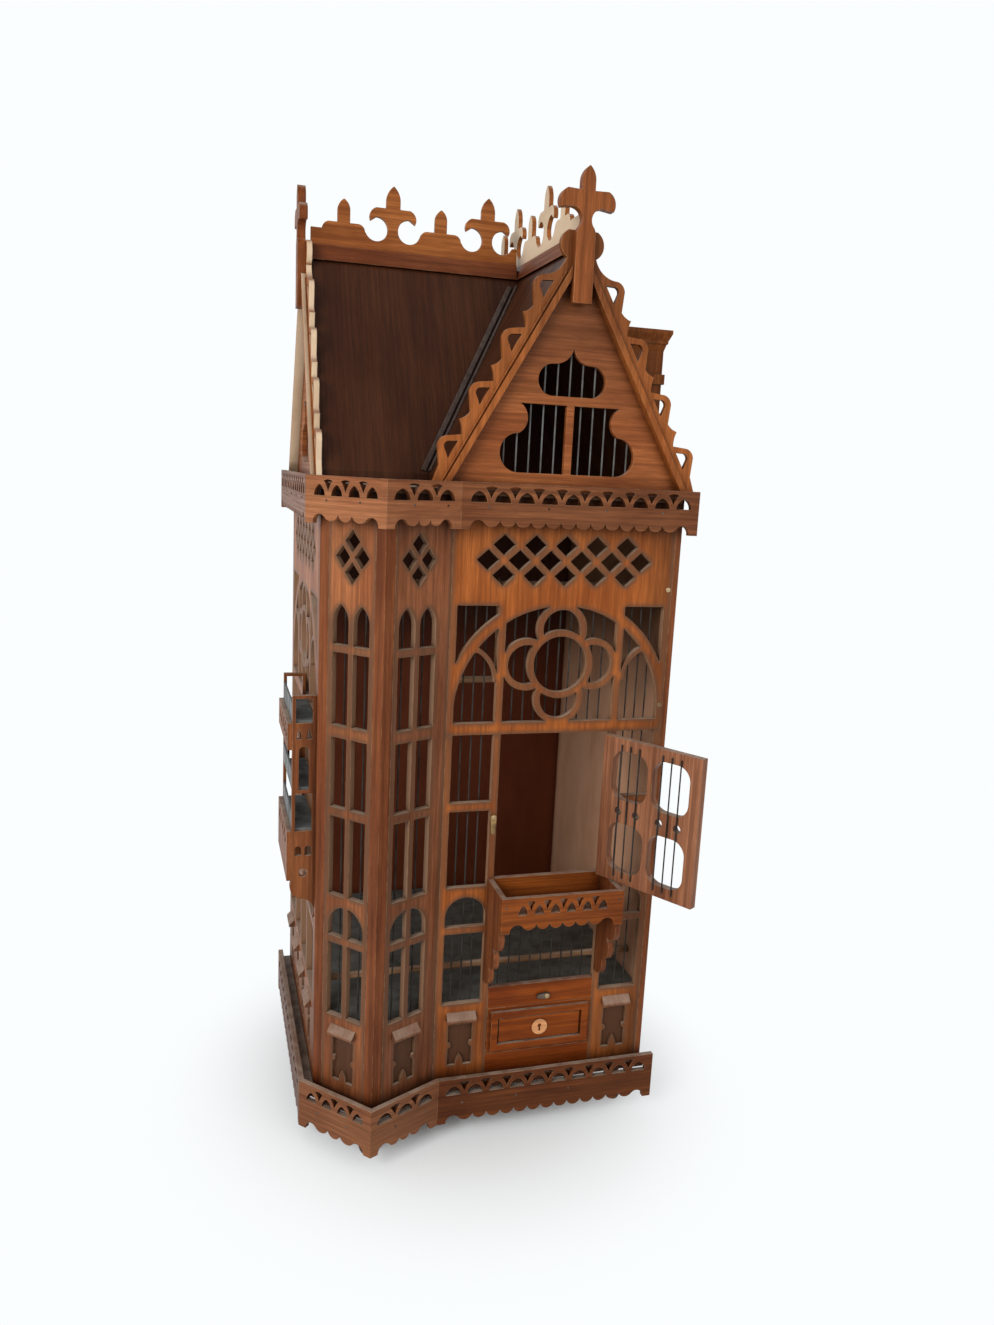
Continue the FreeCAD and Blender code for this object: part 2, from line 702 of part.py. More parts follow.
caps = [pent_cap("cap_front_left", FRONT_LEFT, 0, sum(first_light) / 2),
        pent_cap("cap_front_right", FRONT_LEFT, 0, sum(last_light) / 2),
        pent_cap("cap_bay_left", bay_left_start, BAY_LEFT_TURN, bay_middle),
        pent_cap("cap_bay_right", bay_right_start, BAY_RIGHT_TURN, bay_middle)]
for number, light in enumerate(left_lights):
    caps.append(pent_cap(f"cap_left_{number}", LEFT_FRET, LEFT_TURN, sum(light) / 2))
keep(group("pent_cap_set", caps), "pent_caps")


# Front rails, solid walls, floor and the frame under the roof

keep(bar("lower_rail", "sizes.door_width", "sizes.fret_thick", "sizes.rail_rise",
         (DOOR_LEFT, 0, size.base_top)), "front_lower_rail")
keep(bar("sill_board", "sizes.door_width", "sizes.fret_thick", "sizes.sill_rail",
         (DOOR_LEFT, 0, size.floor_height)), "front_sill_rail")
keep(bar("right_board", "sizes.solid_thick", "sizes.back_face", "sizes.wall_top - sizes.base_top",
         (size.front_width, 0, size.base_top)), "right_wall")

GABLE_LEFT = size.house_right - 2 * size.roof_half
RIDGE_X = size.house_right - size.roof_half
RIDGE_Y = size.house_depth - size.roof_half
back_wall = new_body("back_wall")
pad(back_wall, [loop(
    (-size.left_reach, size.base_top), (size.house_right, size.base_top), (size.house_right, size.wall_top),
    (RIDGE_X, size.wall_top + size.roof_rise), (GABLE_LEFT, size.wall_top),
    (-size.left_reach, size.wall_top))], "sizes.solid_thick")
keep(back_wall, "back_wall", at(0, size.back_face))


def round_post(corner, turn_in, turn_out):
    """The floor's edge past a corner post: off one wall's inner face, across the post, onto the next."""
    shallow = size.fret_thick
    deep = size.post_depth
    return [ahead(corner, turn_in, -size.post_face, shallow), ahead(corner, turn_in, -size.post_face, deep),
            ahead(corner, turn_out, size.post_face, deep), ahead(corner, turn_out, size.post_face, shallow)]


floor = new_body("floor")
floor_left = size.fret_thick - size.left_reach
pad(floor, [loop(
    (size.front_width, size.fret_thick), (size.front_width, size.back_face), (floor_left, size.back_face),
    *round_post(LEFT_FRONT, LEFT_TURN, BAY_LEFT_TURN), *round_post(BAY, BAY_LEFT_TURN, BAY_RIGHT_TURN),
    ahead(FRONT_LEFT, BAY_RIGHT_TURN, 0, size.fret_thick), (0, size.fret_thick))],
    "sizes.floor_thick", "XY_Plane")
keep(floor, "floor_board", at(0, 0, size.floor_height))

WING_EAVE = size.house_depth - 2 * size.roof_half
frame = new_body("frame")
strip = size.frame_width
pad(frame, [loop(
    (-size.left_reach - size.apron_reach, size.back_face), left_apron, bay_apron, front_apron,
    (size.front_width, -size.apron_reach), (size.front_width, strip), (GABLE_LEFT + strip, strip),
    (GABLE_LEFT + strip, WING_EAVE + strip), (strip - size.left_reach, WING_EAVE + strip),
    (strip - size.left_reach, size.back_face))], "sizes.frame_thick", "XY_Plane")
keep(frame, "cornice_frame", at(0, 0, size.frame_height))


# Gables: board with its windows, bargeboard with crockets, and cross finial

GABLE_SPAN = 2 * size.roof_half
SLOPE = size.roof_rise / size.roof_half
PITCH = math.atan(SLOPE)
RAKE = math.hypot(size.roof_half, size.roof_rise)
WINDOW_LOW = size.wall_top + size.window_low
WINDOW_HIGH = WINDOW_LOW + 2 * size.window_lobe + size.bump_height
EYE_LOW = WINDOW_HIGH + size.gable_bar


def gable_board(name):
    """A triangular board with a lobed pair of lights below and a pointed foil light above."""
    body = new_body(name)
    middle = size.roof_half
    mullion = size.mullion_width / 2
    lobe = size.window_lobe
    lobe_top = WINDOW_LOW + 2 * lobe
    loops = [loop((0, size.wall_top), (GABLE_SPAN, size.wall_top), (middle, size.wall_top + size.roof_rise))]
    for side in (-1, 1):
        wide = middle + side * size.window_half
        near = middle + side * mullion
        loops.append(loop(
            (near, WINDOW_LOW), (wide, WINDOW_LOW),
            ((wide + side * lobe, WINDOW_LOW + lobe), (wide, lobe_top)),
            ((wide - side * size.bump_depth, lobe_top + size.bump_height / 2), (wide, WINDOW_HIGH)),
            (near, WINDOW_HIGH)))
    lobe = size.eye_lobe
    half = size.eye_half
    start = (middle, EYE_LOW)
    edge = [(middle + half - lobe, EYE_LOW),
            ((middle + half, EYE_LOW + lobe), (middle + half - lobe, EYE_LOW + 2 * lobe)),
            ((middle + lobe * 0.55, EYE_LOW + 2.2 * lobe), (middle, EYE_LOW + size.eye_rise))]
    loops.append(loop(start, *edge, *mirrored(start, edge, middle)))
    pad(body, loops, "sizes.gable_thick")
    return body


def rake(along, out, side=1):
    """A point up a slope from its eave and outward from the roof's face, right (1) or left (-1)."""
    u = size.roof_half - along * math.cos(PITCH) + out * math.sin(PITCH)
    return size.roof_half + side * u, size.eave_top + along * math.sin(PITCH) + out * math.cos(PITCH)


def rake_foot(out):
    """Where a line at this distance from the roof's face meets the cornice level."""
    return rake((size.wall_top - size.eave_top - out * math.cos(PITCH)) / math.sin(PITCH), out)


def rake_apex(out):
    return size.roof_half, size.ridge_top + out / math.cos(PITCH)


def crocket_heads():
    """How far up the slope each crocket has its upper end."""
    count = int((RAKE - size.crocket_first) / size.crocket_pitch) + 1
    return [size.crocket_first + number * size.crocket_pitch for number in range(count)]


def crocketed_edge():
    """The right-hand outer edge from its foot to the apex: looped crockets with a beak between each two."""
    base = size.barge_outer
    length = size.crocket_length
    reach = size.crocket_reach
    pitch = size.crocket_pitch
    heads = crocket_heads()
    steps = []
    for number, head in enumerate(heads):
        tail = head - length
        if number:
            beak = (head - pitch + tail) / 2
            steps.append((rake(head - 0.92 * pitch, base + 0.3 * size.beak_rise),
                          rake(beak, base + size.beak_rise)))
            steps.append((rake(tail - 0.45 * (tail - beak), base + 0.55 * size.beak_rise),
                          rake(tail, base + reach / 4)))
        else:
            steps.append(rake(tail, base + reach / 4))
        steps.append(rake(head - 0.57 * length, base + 0.95 * reach))
        steps.append((rake(head - 0.42 * length, base + reach),
                      rake(head - 0.25 * length, base + 0.8 * reach)))
        if number + 1 < len(heads):
            steps.append(rake(head, base))
    crown = size.ridge_top + size.apex_rise
    neck = crown - size.lobe_height
    u, w = steps[-1][1]
    inner = size.roof_half + size.apex_neck
    steps.append(((inner + 0.33 * (u - inner), w + 0.33 * (neck - w)), (inner, neck)))
    steps.append(((size.roof_half + size.apex_lobe, crown - size.lobe_height / 2), (inner, crown)))
    return steps


def crocket_eye(head, side):
    """The hole of a crocket's loop."""
    base = size.barge_outer
    length = size.crocket_length
    high = size.crocket_reach - size.crocket_ring
    return loop(
        rake(head - 0.2 * length, base, side), rake(head - 0.35 * length, base + 0.85 * high, side),
        (rake(head - 0.45 * length, base + high, side),
         rake(head - 0.54 * length, base + 0.85 * high, side)), rake(head - 0.72 * length, base, side))


def bargeboard(name):
    """Two raking boards in one, with looped crockets outside and a raised moulding strip inside."""
    body = new_body(name)
    middle = size.roof_half
    inner = -size.barge_inner
    start = rake_foot(size.barge_outer)
    edge = crocketed_edge()
    crown = (2 * middle - edge[-1][1][0], edge[-1][1][1])
    left_inner = (2 * middle - rake_foot(inner)[0], size.wall_top)
    outline = loop(start, *edge, crown, *mirrored(start, edge, middle), left_inner, rake_apex(inner),
                   rake_foot(inner))
    eyes = [crocket_eye(head, side) for head in crocket_heads() for side in (1, -1)]
    pad(body, [outline, *eyes], "sizes.barge_thick")

    outer = inner + size.mould_width
    half_post = size.finial_width / 2 + size.wire_gap
    strips = []
    for side in (-1, 1):
        foot_in, foot_out = [middle + side * (rake_foot(out)[0] - middle) for out in (inner, outer)]
        cut = middle + side * half_post
        strips.append(loop(
            (foot_in, size.wall_top), (foot_out, size.wall_top),
            (cut, rake_apex(outer)[1] - half_post * SLOPE), (cut, rake_apex(inner)[1] - half_post * SLOPE)))
    pad(body, strips, "sizes.mould_thick", forward=False)
    return body


def cross_finial(name):
    """A square post before the apex, its head a pointed leaf over two arms that droop round a bite."""
    body = new_body(name)
    middle = size.roof_half
    half = size.finial_width / 2
    stem = size.finial_stem
    bite = size.finial_bite
    leaf = size.finial_leaf
    arm = size.finial_arm
    top = size.ridge_top + size.finial_rise
    level = size.ridge_top + size.bite_height
    corner = bite * math.sqrt(0.5)
    start = (middle, size.ridge_top - size.finial_drop)
    edge = [(middle + half, start[1]), (middle + half, level - 1.1 * bite),
            (middle + stem + bite - corner, level - corner),
            ((middle + stem, level), (middle + stem + bite - corner, level + corner)),
            ((middle + stem + 0.7 * bite, level + 0.95 * bite), (middle + stem + bite, level + bite)),
            (middle + 0.97 * arm, level + 0.86 * bite),
            ((middle + arm, level + 1.8 * bite), (middle + 0.75 * arm, level + 2.5 * bite)),
            (middle + leaf, level + 2.45 * bite), (middle + leaf, top - 2 * leaf),
            arch_side((middle + leaf, top - 2 * leaf), (middle, top))]
    pad(body, [loop(start, *edge, *mirrored(start, edge, middle))], "sizes.finial_thick")
    return body


GABLE_FRONT = (GABLE_LEFT, 0.0)
barge_face = size.gable_inset - size.barge_thick
for side, corner, turn in (("front", GABLE_FRONT, 0.0), ("left", LEFT_BACK, LEFT_TURN)):
    board_at = ahead(corner, turn, 0, size.gable_inset)
    barge_at = ahead(corner, turn, 0, barge_face)
    finial_at = ahead(corner, turn, 0, barge_face - size.finial_thick)
    keep(gable_board(f"{side}_gable"), f"gable_{side}", at(*board_at, 0, turn))
    keep(bargeboard(f"{side}_barge"), f"bargeboard_{side}", at(*barge_at, 0, turn))
    keep(cross_finial(f"{side}_finial"), f"finial_{side}", at(*finial_at, 0, turn))


# Roof slopes: each one a plan outline lifted to its slope, mitred upright at ridge and valley

WING_FACE = size.gable_inset - size.left_reach


def main_height(x):
    return size.ridge_top - SLOPE * abs(x - RIDGE_X)


def wing_height(y):
    return size.ridge_top - SLOPE * abs(y - RIDGE_Y)


def slope_slab(corners):
    """The solid under a sloped face given by its corners, as thick as the roof measures upright."""
    outline = Part.makePolygon([Vector(*corner) for corner in corners + corners[:1]])
    return Part.Face(outline).extrude(Vector(0, 0, -size.roof_drop))


def roof_slope(label, faces):
    slabs = [slope_slab(corners) for corners in faces]
    slope = doc.addObject("Part::Feature", label + "_slab")
    slope.Shape = slabs[0] if len(slabs) == 1 else Part.makeCompound(slabs)
    return keep(slope, label, at(0, 0))


def on_main(x, y):
    return x, y, main_height(x)


def on_wing(x, y):
    return x, y, wing_height(y)


front_end = size.gable_inset
roof_slope("roof_main_right", [[
    on_main(size.house_right, front_end), on_main(size.house_right, size.house_depth),
    on_main(RIDGE_X, size.house_depth), on_main(RIDGE_X, front_end)]])
roof_slope("roof_main_left", [
    [on_main(GABLE_LEFT, front_end), on_main(RIDGE_X, front_end), on_main(RIDGE_X, RIDGE_Y),
     on_main(GABLE_LEFT, WING_EAVE)],
    [on_main(RIDGE_X, RIDGE_Y), on_main(RIDGE_X, size.house_depth), on_main(GABLE_LEFT, size.house_depth)]])
wing_front = roof_slope("roof_wing_front", [[
    on_wing(WING_FACE, WING_EAVE), on_wing(GABLE_LEFT, WING_EAVE), on_wing(RIDGE_X, RIDGE_Y),
    on_wing(WING_FACE, RIDGE_Y)]])
wing_back = roof_slope("roof_wing_back", [[
    on_wing(WING_FACE, RIDGE_Y), on_wing(RIDGE_X, RIDGE_Y), on_wing(GABLE_LEFT, size.house_depth),
    on_wing(WING_FACE, size.house_depth)]])


# Ridge caps and crestings

ridge_seat = size.ridge_top + size.ridge_rise
ridge_spread = size.ridge_drop / SLOPE
MAIN_RIDGE = size.house_depth - front_end
WING_RIDGE = RIDGE_X - ridge_spread - size.ridge_wing - WING_FACE


def ridge_cap(name, length):
    """A moulding saddled over the ridge, run along the sketch's normal."""
    body = new_body(name)
    outer = ridge_spread + size.ridge_wing
    low = size.ridge_top - size.ridge_drop
    pad(body, [loop(
        (-outer, low), (-ridge_spread, low), (0, size.ridge_top), (ridge_spread, low), (outer, low),
        (size.ridge_half, ridge_seat), (-size.ridge_half, ridge_seat))], length)
    return body


main_cap = ridge_cap("main_cap", "sizes.house_depth - sizes.gable_inset")
main_cap.Placement = at(RIDGE_X, front_end)
for number, slope in enumerate((wing_front, wing_back)):
    scribe = doc.addObject("Part::Feature", f"main_cap_scribe_{number}")
    scribe.Shape = slope.Shape
    scribed = doc.addObject("Part::Cut", f"main_cap_scribed_{number}")
    scribed.Base = main_cap
    scribed.Tool = scribe
    main_cap = scribed
wing_cap = ridge_cap("wing_cap", f"{WING_RIDGE}")
wing_cap.Placement = at(WING_FACE, RIDGE_Y, 0, LEFT_TURN)
keep(group("ridge_cap_pair", [main_cap, wing_cap]), "ridge_caps")


# A cross's foot ends where its bites come down to the board; the leaf beside it starts after a short flat
bite_foot = math.sqrt(size.cross_bite ** 2 - (size.bite_centre - size.crest_body) ** 2)
CROSS_FOOT = size.cross_stem + size.cross_bite + bite_foot
LEAF_FOOT = size.hump_half + size.crest_hump - size.crest_body
CREST_SPACING = CROSS_FOOT + size.crest_flat + LEAF_FOOT


def crest_leaf(middle):
    """The right half of a flat hump that carries a pointed leaf, from its foot to the tip."""
    low = size.crest_body
    hump = size.crest_hump
    half = size.hump_half
    leaf = size.leaf_half
    drop = hump - low
    spring = size.crest_leaf - 1.7 * leaf
    return (middle + LEAF_FOOT, low), [
        ((middle + half + 0.7 * drop, low + 0.7 * drop), (middle + half, hump)), (middle + leaf, hump),
        (middle + leaf, spring), arch_side((middle + leaf, spring), (middle, size.crest_leaf))]


def crest_cross(middle):
    """The right half of a cross: round bite beside its stem, drooping arm over it, pointed leaf on top."""
    stem = middle + size.cross_stem
    bite = size.cross_bite
    centre = stem + bite
    level = size.bite_centre
    arm = size.cross_arm
    leaf = size.leaf_half + size.fret_lap
    spring = size.crest_cross - 2 * leaf
    corner = bite * math.sqrt(0.5)
    return (middle + CROSS_FOOT, size.crest_body), [
        ((centre, level - bite), (stem, level)), ((centre - corner, level + corner), (centre, level + bite)),
        (middle + arm, level + 0.65 * bite),
        ((middle + arm, size.arm_top - 0.4 * bite), (middle + 0.75 * arm, size.arm_top)),
        (middle + leaf, size.arm_top), (middle + leaf, spring),
        arch_side((middle + leaf, spring), (middle, size.crest_cross))]


def cresting(name, length):
    """A fretted ridge board on which leaves and crosses take turns."""
    body = new_body(name)
    count = int((length - 2 * (CROSS_FOOT + size.crest_margin)) / CREST_SPACING) + 1
    first = (length - (count - 1) * CREST_SPACING) / 2
    edge = [(length, 0), (length, size.crest_body)]
    for number in range(count - 1, -1, -1):
        middle = first + number * CREST_SPACING
        start, steps = crest_cross(middle) if number % 2 else crest_leaf(middle)
        edge += [start, *steps, *mirrored(start, steps, middle)]
    edge.append((0, size.crest_body))
    pad(body, [loop((0, 0), *edge)], "sizes.crest_thick")
    return body


crest_half = size.crest_thick / 2
keep(cresting("main_crest", MAIN_RIDGE), "cresting_main",
     at(RIDGE_X + crest_half, front_end, ridge_seat, 90))
keep(cresting("wing_crest", WING_RIDGE), "cresting_wing", at(WING_FACE, RIDGE_Y - crest_half, ridge_seat))


# Chimney on the right slope

chimney_left = size.house_right - size.chimney_width
chimney_top = size.ridge_top - size.chimney_drop
stack = new_body("stack")
pad(stack, [loop(
    (chimney_left, main_height(chimney_left)), (size.house_right, main_height(size.house_right)),
    (size.house_right, chimney_top), (chimney_left, chimney_top))], "sizes.chimney_depth")
stack.Placement = at(0, size.chimney_front)


def chimney_course(name, foot_reach, head_reach, low, high):
    """A square course round the stack, as far out at its foot and at its head as these two say."""
    course = doc.addObject("Part::Wedge", name)
    for axis, span in (("X", size.chimney_width), ("Z", size.chimney_depth)):
        setattr(course, axis + "min", -foot_reach)
        setattr(course, axis + "max", span + foot_reach)
        setattr(course, axis + "2min", -head_reach)
        setattr(course, axis + "2max", span + head_reach)
    course.Ymin = 0
    course.Ymax = high - low
    course.Placement = Placement(Vector(chimney_left, size.chimney_front + size.chimney_depth, low),
                                 Rotation(Vector(1, 0, 0), 90))
    return course


reach = size.chimney_reach
slab_low = chimney_top - size.chimney_slab
fillet_high = slab_low - size.chimney_cove
fillet_low = fillet_high - size.chimney_fillet
neck_low = fillet_low - size.chimney_cove
belt_top = chimney_top - size.belt_drop
keep(fused("chimney_courses", [
    stack,
    chimney_course("chimney_belt", size.belt_reach, size.belt_reach, belt_top - size.belt_height, belt_top),
    chimney_course("chimney_neck", 0, reach / 3, neck_low, fillet_low),
    chimney_course("chimney_fillet", reach / 2, reach / 2, fillet_low, fillet_high),
    chimney_course("chimney_cove", reach / 2, reach, fillet_high, slab_low),
    chimney_course("chimney_slab", reach, reach, slab_low, chimney_top)]), "chimney")


# Wires behind the fretwork

def wire_places(left, right):
    """Where the wires of one opening stand: even gaps of about the pitch, at least one wire."""
    count = max(1, round((right - left) / size.wire_pitch - 0.5))
    return [left + (right - left) * (number + 1) / (count + 1) for number in range(count)]


def wire(place, low, high):
    """One upright six-sided wire."""
    prism = doc.addObject("Part::Prism", "wire")
    prism.Polygon = 6
    prism.setExpression("Circumradius", "sizes.wire_radius")
    prism.Height = high - low
    prism.Placement = at(place[0], place[1], low)
    return prism


def wires_across(start, turn, left, right, low, high, back):
    """Wires at the named pitch, centred in an opening and standing behind its board."""
    inward = back + size.wire_gap + size.wire_radius
    return [wire(ahead(start, turn, place, inward), low, high) for place in wire_places(left, right)]


def gable_wires(corner, turn):
    """Wires at the pitch to both sides of the middle, taller where they also bar the upper light."""
    inward = size.gable_inset + size.gable_thick + size.wire_gap + size.wire_radius
    low = size.wall_top + size.gable_thick
    lap = size.gable_bar / 2
    count = int((size.window_half + size.window_lobe) / size.wire_pitch)
    wires = []
    for number in range(-count, count + 1):
        off = number * size.wire_pitch
        high = WINDOW_HIGH if abs(off) > size.eye_half else EYE_LOW + size.eye_rise
        wires.append(wire(ahead(corner, turn, size.roof_half + off, inward), low, high + lap))
    return wires


wire_low = size.sill_height - size.stile_width / 2
wire_high = size.light_top + size.stile_width / 2
thick = size.fret_thick
front_wires = []
for left, right in (first_light, last_light):
    front_wires += wires_across(FRONT_LEFT, 0, left, right, wire_low, wire_high, thick)
front_wires += wires_across(FRONT_LEFT, 0, DOOR_LEFT, DOOR_RIGHT,
                            size.lintel_height + size.lintel_thick / 3, wire_high, thick)
feed_back_low = size.feed_top - size.feed_back
front_wires += wires_across(FRONT_LEFT, 0, DOOR_LEFT, DOOR_RIGHT, size.floor_height + size.floor_thick,
                            feed_back_low + size.feed_board, thick)
keep(group("front_wire_set", front_wires), "front_wires")

bay_wires = []
for start, turn in ((bay_left_start, BAY_LEFT_TURN), (bay_right_start, BAY_RIGHT_TURN)):
    for left, right in bay_lights:
        bay_wires += wires_across(start, turn, left, right, wire_low, wire_high, thick)
keep(group("bay_wire_set", bay_wires), "bay_wires")

left_wires = []
for left, right in left_lights:
    left_wires += wires_across(LEFT_FRET, LEFT_TURN, left, right, wire_low, wire_high, thick)
keep(group("left_wire_set", left_wires), "left_wires")
keep(group("gable_wire_set", gable_wires(GABLE_FRONT, 0.0) + gable_wires(LEFT_BACK, LEFT_TURN)),
     "gable_wires")


# Feed box below the door

feed_left = (size.front_width - size.feed_width) / 2
feed_front_low = size.feed_top - size.feed_front
keep(bar("feed_wall", "sizes.door_width", "sizes.fret_thick", "sizes.feed_back",
         (DOOR_LEFT, 0, feed_back_low)), "feed_box_back")


def scrolled_bracket(name):
    """A side of the feed box that runs down the wall as a scroll of three lobes."""
    body = new_body(name)
    reach = size.feed_reach
    low = size.feed_top - size.bracket_height
    shoulder = feed_front_low
    drop = (shoulder - low) / 3
    pad(body, [loop(
        (0, low), (0, size.feed_top), (-reach, size.feed_top), (-reach, shoulder),
        ((-reach * 0.95, shoulder - drop * 0.8), (-reach * 0.6, shoulder - drop)),
        ((-reach * 0.72, shoulder - drop * 1.7), (-reach * 0.34, shoulder - 2 * drop)),
        ((-reach * 0.4, shoulder - drop * 2.6), (-reach * 0.12, low)))], "sizes.feed_thick", "YZ_Plane")
    return body


left_bracket = scrolled_bracket("feed_bracket_left")
left_bracket.Placement = at(feed_left, 0)
right_bracket = scrolled_bracket("feed_bracket_right")
right_bracket.Placement = at(feed_left + size.feed_width - size.feed_thick, 0)
keep(group("feed_bracket_pair", [left_bracket, right_bracket]), "feed_box_sides")
feed_front = fretted_board("feed_front_board", size.feed_width, "feed_front", "feed_thick", (0, 0),
                           size.feed_margin, size.feed_arch_pitch)
keep(feed_front, "feed_box_front", at(feed_left, -size.feed_reach - size.feed_thick, feed_front_low))
keep(bar("feed_bottom", "sizes.feed_width - 2 * sizes.feed_thick", "sizes.feed_reach", "sizes.feed_board",
         (feed_left + size.feed_thick, -size.feed_reach, size.feed_top - size.feed_inside)),
     "feed_box_floor")


# Door, modelled about its hinge axis and set open

DOOR_SPAN = size.door_width - 2 * size.door_gap
door_low = size.feed_top + size.door_gap
door_high = size.lintel_height - size.door_gap
AXIS = (DOOR_RIGHT, -size.hinge_offset)
DOOR_PLACE = at(AXIS[0], AXIS[1], 0, size.door_open)
door_right = -size.door_gap
door_left = door_right - DOOR_SPAN


def rounded_light(left, low, right, high, radius):
    """A light with all its corners rounded."""
    turn = radius * (1 - math.sqrt(0.5))
    return loop(
        (left + radius, low), (right - radius, low), ((right - turn, low + turn), (right, low + radius)),
        (right, high - radius), ((right - turn, high - turn), (right - radius, high)),
        (left + radius, high), ((left + turn, high - turn), (left, high - radius)),
        (left, low + radius), ((left + turn, low + turn), (left + radius, low)))


door = new_body("door")
rail = size.door_rail
middle = (door_left + door_right) / 2
middle_height = (door_low + door_high) / 2
mid_half = size.door_mid_rail / 2
half_bar = size.door_mullion / 2
door_loops = [rectangle(door_left, door_low, door_right, door_high)]
door_columns = ((door_left + rail, middle - half_bar), (middle + half_bar, door_right - rail))
door_rows = ((door_low + rail, middle_height - mid_half), (middle_height + mid_half, door_high - rail))
for left, right in door_columns:
    for low, high in door_rows:
        door_loops.append(rounded_light(left, low, right, high, size.door_corner))
    eye_gap = (right - left) / 4
    for eye in (left + eye_gap, right - eye_gap):
        door_loops.append(disc(eye, middle_height, size.door_eye))
pad(door, door_loops, "sizes.door_thick")
door_place = DOOR_PLACE.multiply(Placement(Vector(0, size.hinge_offset, 0), Rotation()))
keep(door, "door_panel", door_place)


def door_wire(u):
    prism = doc.addObject("Part::Prism", "door_wire")
    prism.Polygon = 6
    prism.setExpression("Circumradius", "sizes.wire_radius")
    prism.Height = door_high - door_low - rail
    inward = size.hinge_offset + size.door_thick + size.wire_gap + size.wire_radius
    prism.Placement = DOOR_PLACE.multiply(Placement(Vector(u, inward, door_low + rail / 2), Rotation()))
    return prism


door_wires = []
for left, right in door_columns:
    spacing = (right - left) / 4
    door_wires += [door_wire(left + spacing * number) for number in (1, 2, 3)]
keep(group("door_wire_set", door_wires), "door_wires")


def hinge_half(name, low, leaf_start, with_pin, placement):
    """One leaf with its knuckle; the fixed half carries the pin, the door's half is bored for it."""
    knuckle = rod(name + "_knuckle", "sizes.hinge_radius", "sizes.hinge_length / 2",
                  placement.multiply(Placement(Vector(0, 0, low), Rotation())))
    leaf = doc.addObject("Part::Box", name + "_leaf")
    leaf.setExpression("Length", "sizes.hinge_leaf")
    leaf.setExpression("Width", "sizes.hinge_leaf_thick")
    leaf.setExpression("Height", "sizes.hinge_length / 2")
    leaf_face = size.hinge_offset - size.hinge_leaf_thick
    leaf.Placement = placement.multiply(Placement(Vector(leaf_start, leaf_face, low), Rotation()))
    pin_low = low if with_pin else low - size.hinge_length
    pin_radius = "sizes.pin_radius" if with_pin else "sizes.pin_radius + sizes.pin_play"
    pin_height = "sizes.hinge_length" if with_pin else "2 * sizes.hinge_length"
    pin = rod(name + "_pin", pin_radius, pin_height,
              placement.multiply(Placement(Vector(0, 0, pin_low), Rotation())))
    plate = fused(name + "_plate", [knuckle, leaf])
    if with_pin:
        return fused(name, [plate, pin])
    bored = doc.addObject("Part::Cut", name)
    bored.Base = plate
    bored.Tool = pin
    return bored


fixed_halves = []
door_halves = []
for number, low in enumerate((door_low + size.hinge_rise, door_high - size.hinge_rise - size.hinge_length)):
    fixed_halves.append(hinge_half(f"hinge_fixed_{number}", low, 0, True, at(AXIS[0], AXIS[1])))
    door_halves.append(hinge_half(f"hinge_door_{number}", low + size.hinge_length / 2 + size.knuckle_gap,
                                  -size.hinge_leaf, False, DOOR_PLACE))
keep(group("hinge_fixed_pair", fixed_halves), "door_hinges")
keep(group("hinge_door_pair", door_halves), "door_hinge_leaves")


def turn_button(name, length, half, thick_name):
    """A flat bar with rounded ends, hung from its upper end's centre at the sketch's zero."""
    body = new_body(name)
    pad(body, [loop((half, 0), ((0, half), (-half, 0)), (-half * 0.7, half - length),
                    ((0, -length + half * 0.3), (half * 0.7, half - length)))], thick_name)
    return body


catch_x = DOOR_LEFT - size.mullion_width / 2
keep(turn_button("catch", size.catch_length, size.catch_half, "sizes.catch_thick"), "door_catch",
     at(catch_x, -size.catch_gap - size.catch_thick, door_low + size.catch_lift))


# Drawer under the cage floor

gap = size.drawer_gap
drawer_low = size.drawer_foot + gap
drawer_high = size.floor_height - gap
drawer_left = DOOR_LEFT + gap
drawer_right = DOOR_RIGHT - gap
drawer_front = new_body("drawer_front")


def drawer_inset(margin):
    """The drawer front's outline, drawn in by a margin."""
    return rectangle(drawer_left + margin, drawer_low + margin, drawer_right - margin, drawer_high - margin)


margin = size.drawer_margin
inner_margin = margin + size.drawer_mould
pad(drawer_front, [drawer_inset(0)], "sizes.fret_thick")
pad(drawer_front, [drawer_inset(margin), drawer_inset(inner_margin)], "sizes.drawer_mould_rise",
    forward=False)
pad(drawer_front, [drawer_inset(inner_margin + margin / 2)], "sizes.drawer_field", forward=False)
keep(drawer_front, "drawer_front", at(0, 0))

tray_left = drawer_left + size.drawer_wall
tray_right = drawer_right - size.drawer_wall
wall = size.drawer_wall
DRAWER_SIDE = "sizes.drawer_height - sizes.drawer_drop"
tray = new_body("tray")
pad(tray, [rectangle(tray_left, 0, tray_right, size.drawer_depth)], DRAWER_SIDE, "XY_Plane")
hollow = tray.newObject("PartDesign::Pocket", "tray_hollow")
hollow_sketch = new_sketch(tray, "XY_Plane", [
    rectangle(tray_left + wall, wall, tray_right - wall, size.drawer_depth - wall)])
hollow_sketch.AttachmentOffset = Placement(
    Vector(0, 0, size.drawer_height - size.drawer_drop), Rotation())
hollow.Profile = hollow_sketch
hollow.setExpression("Length", DRAWER_SIDE + " - sizes.drawer_wall")
keep(tray, "drawer_tray", at(0, size.fret_thick, drawer_low))

runners = [bar(f"runner_{number}", "sizes.runner_width", "sizes.drawer_depth", "sizes.rail_rise",
               (x, size.fret_thick, size.base_top))
           for number, x in enumerate((tray_left, tray_right - size.runner_width))]
keep(group("runner_pair", runners), "drawer_runners")

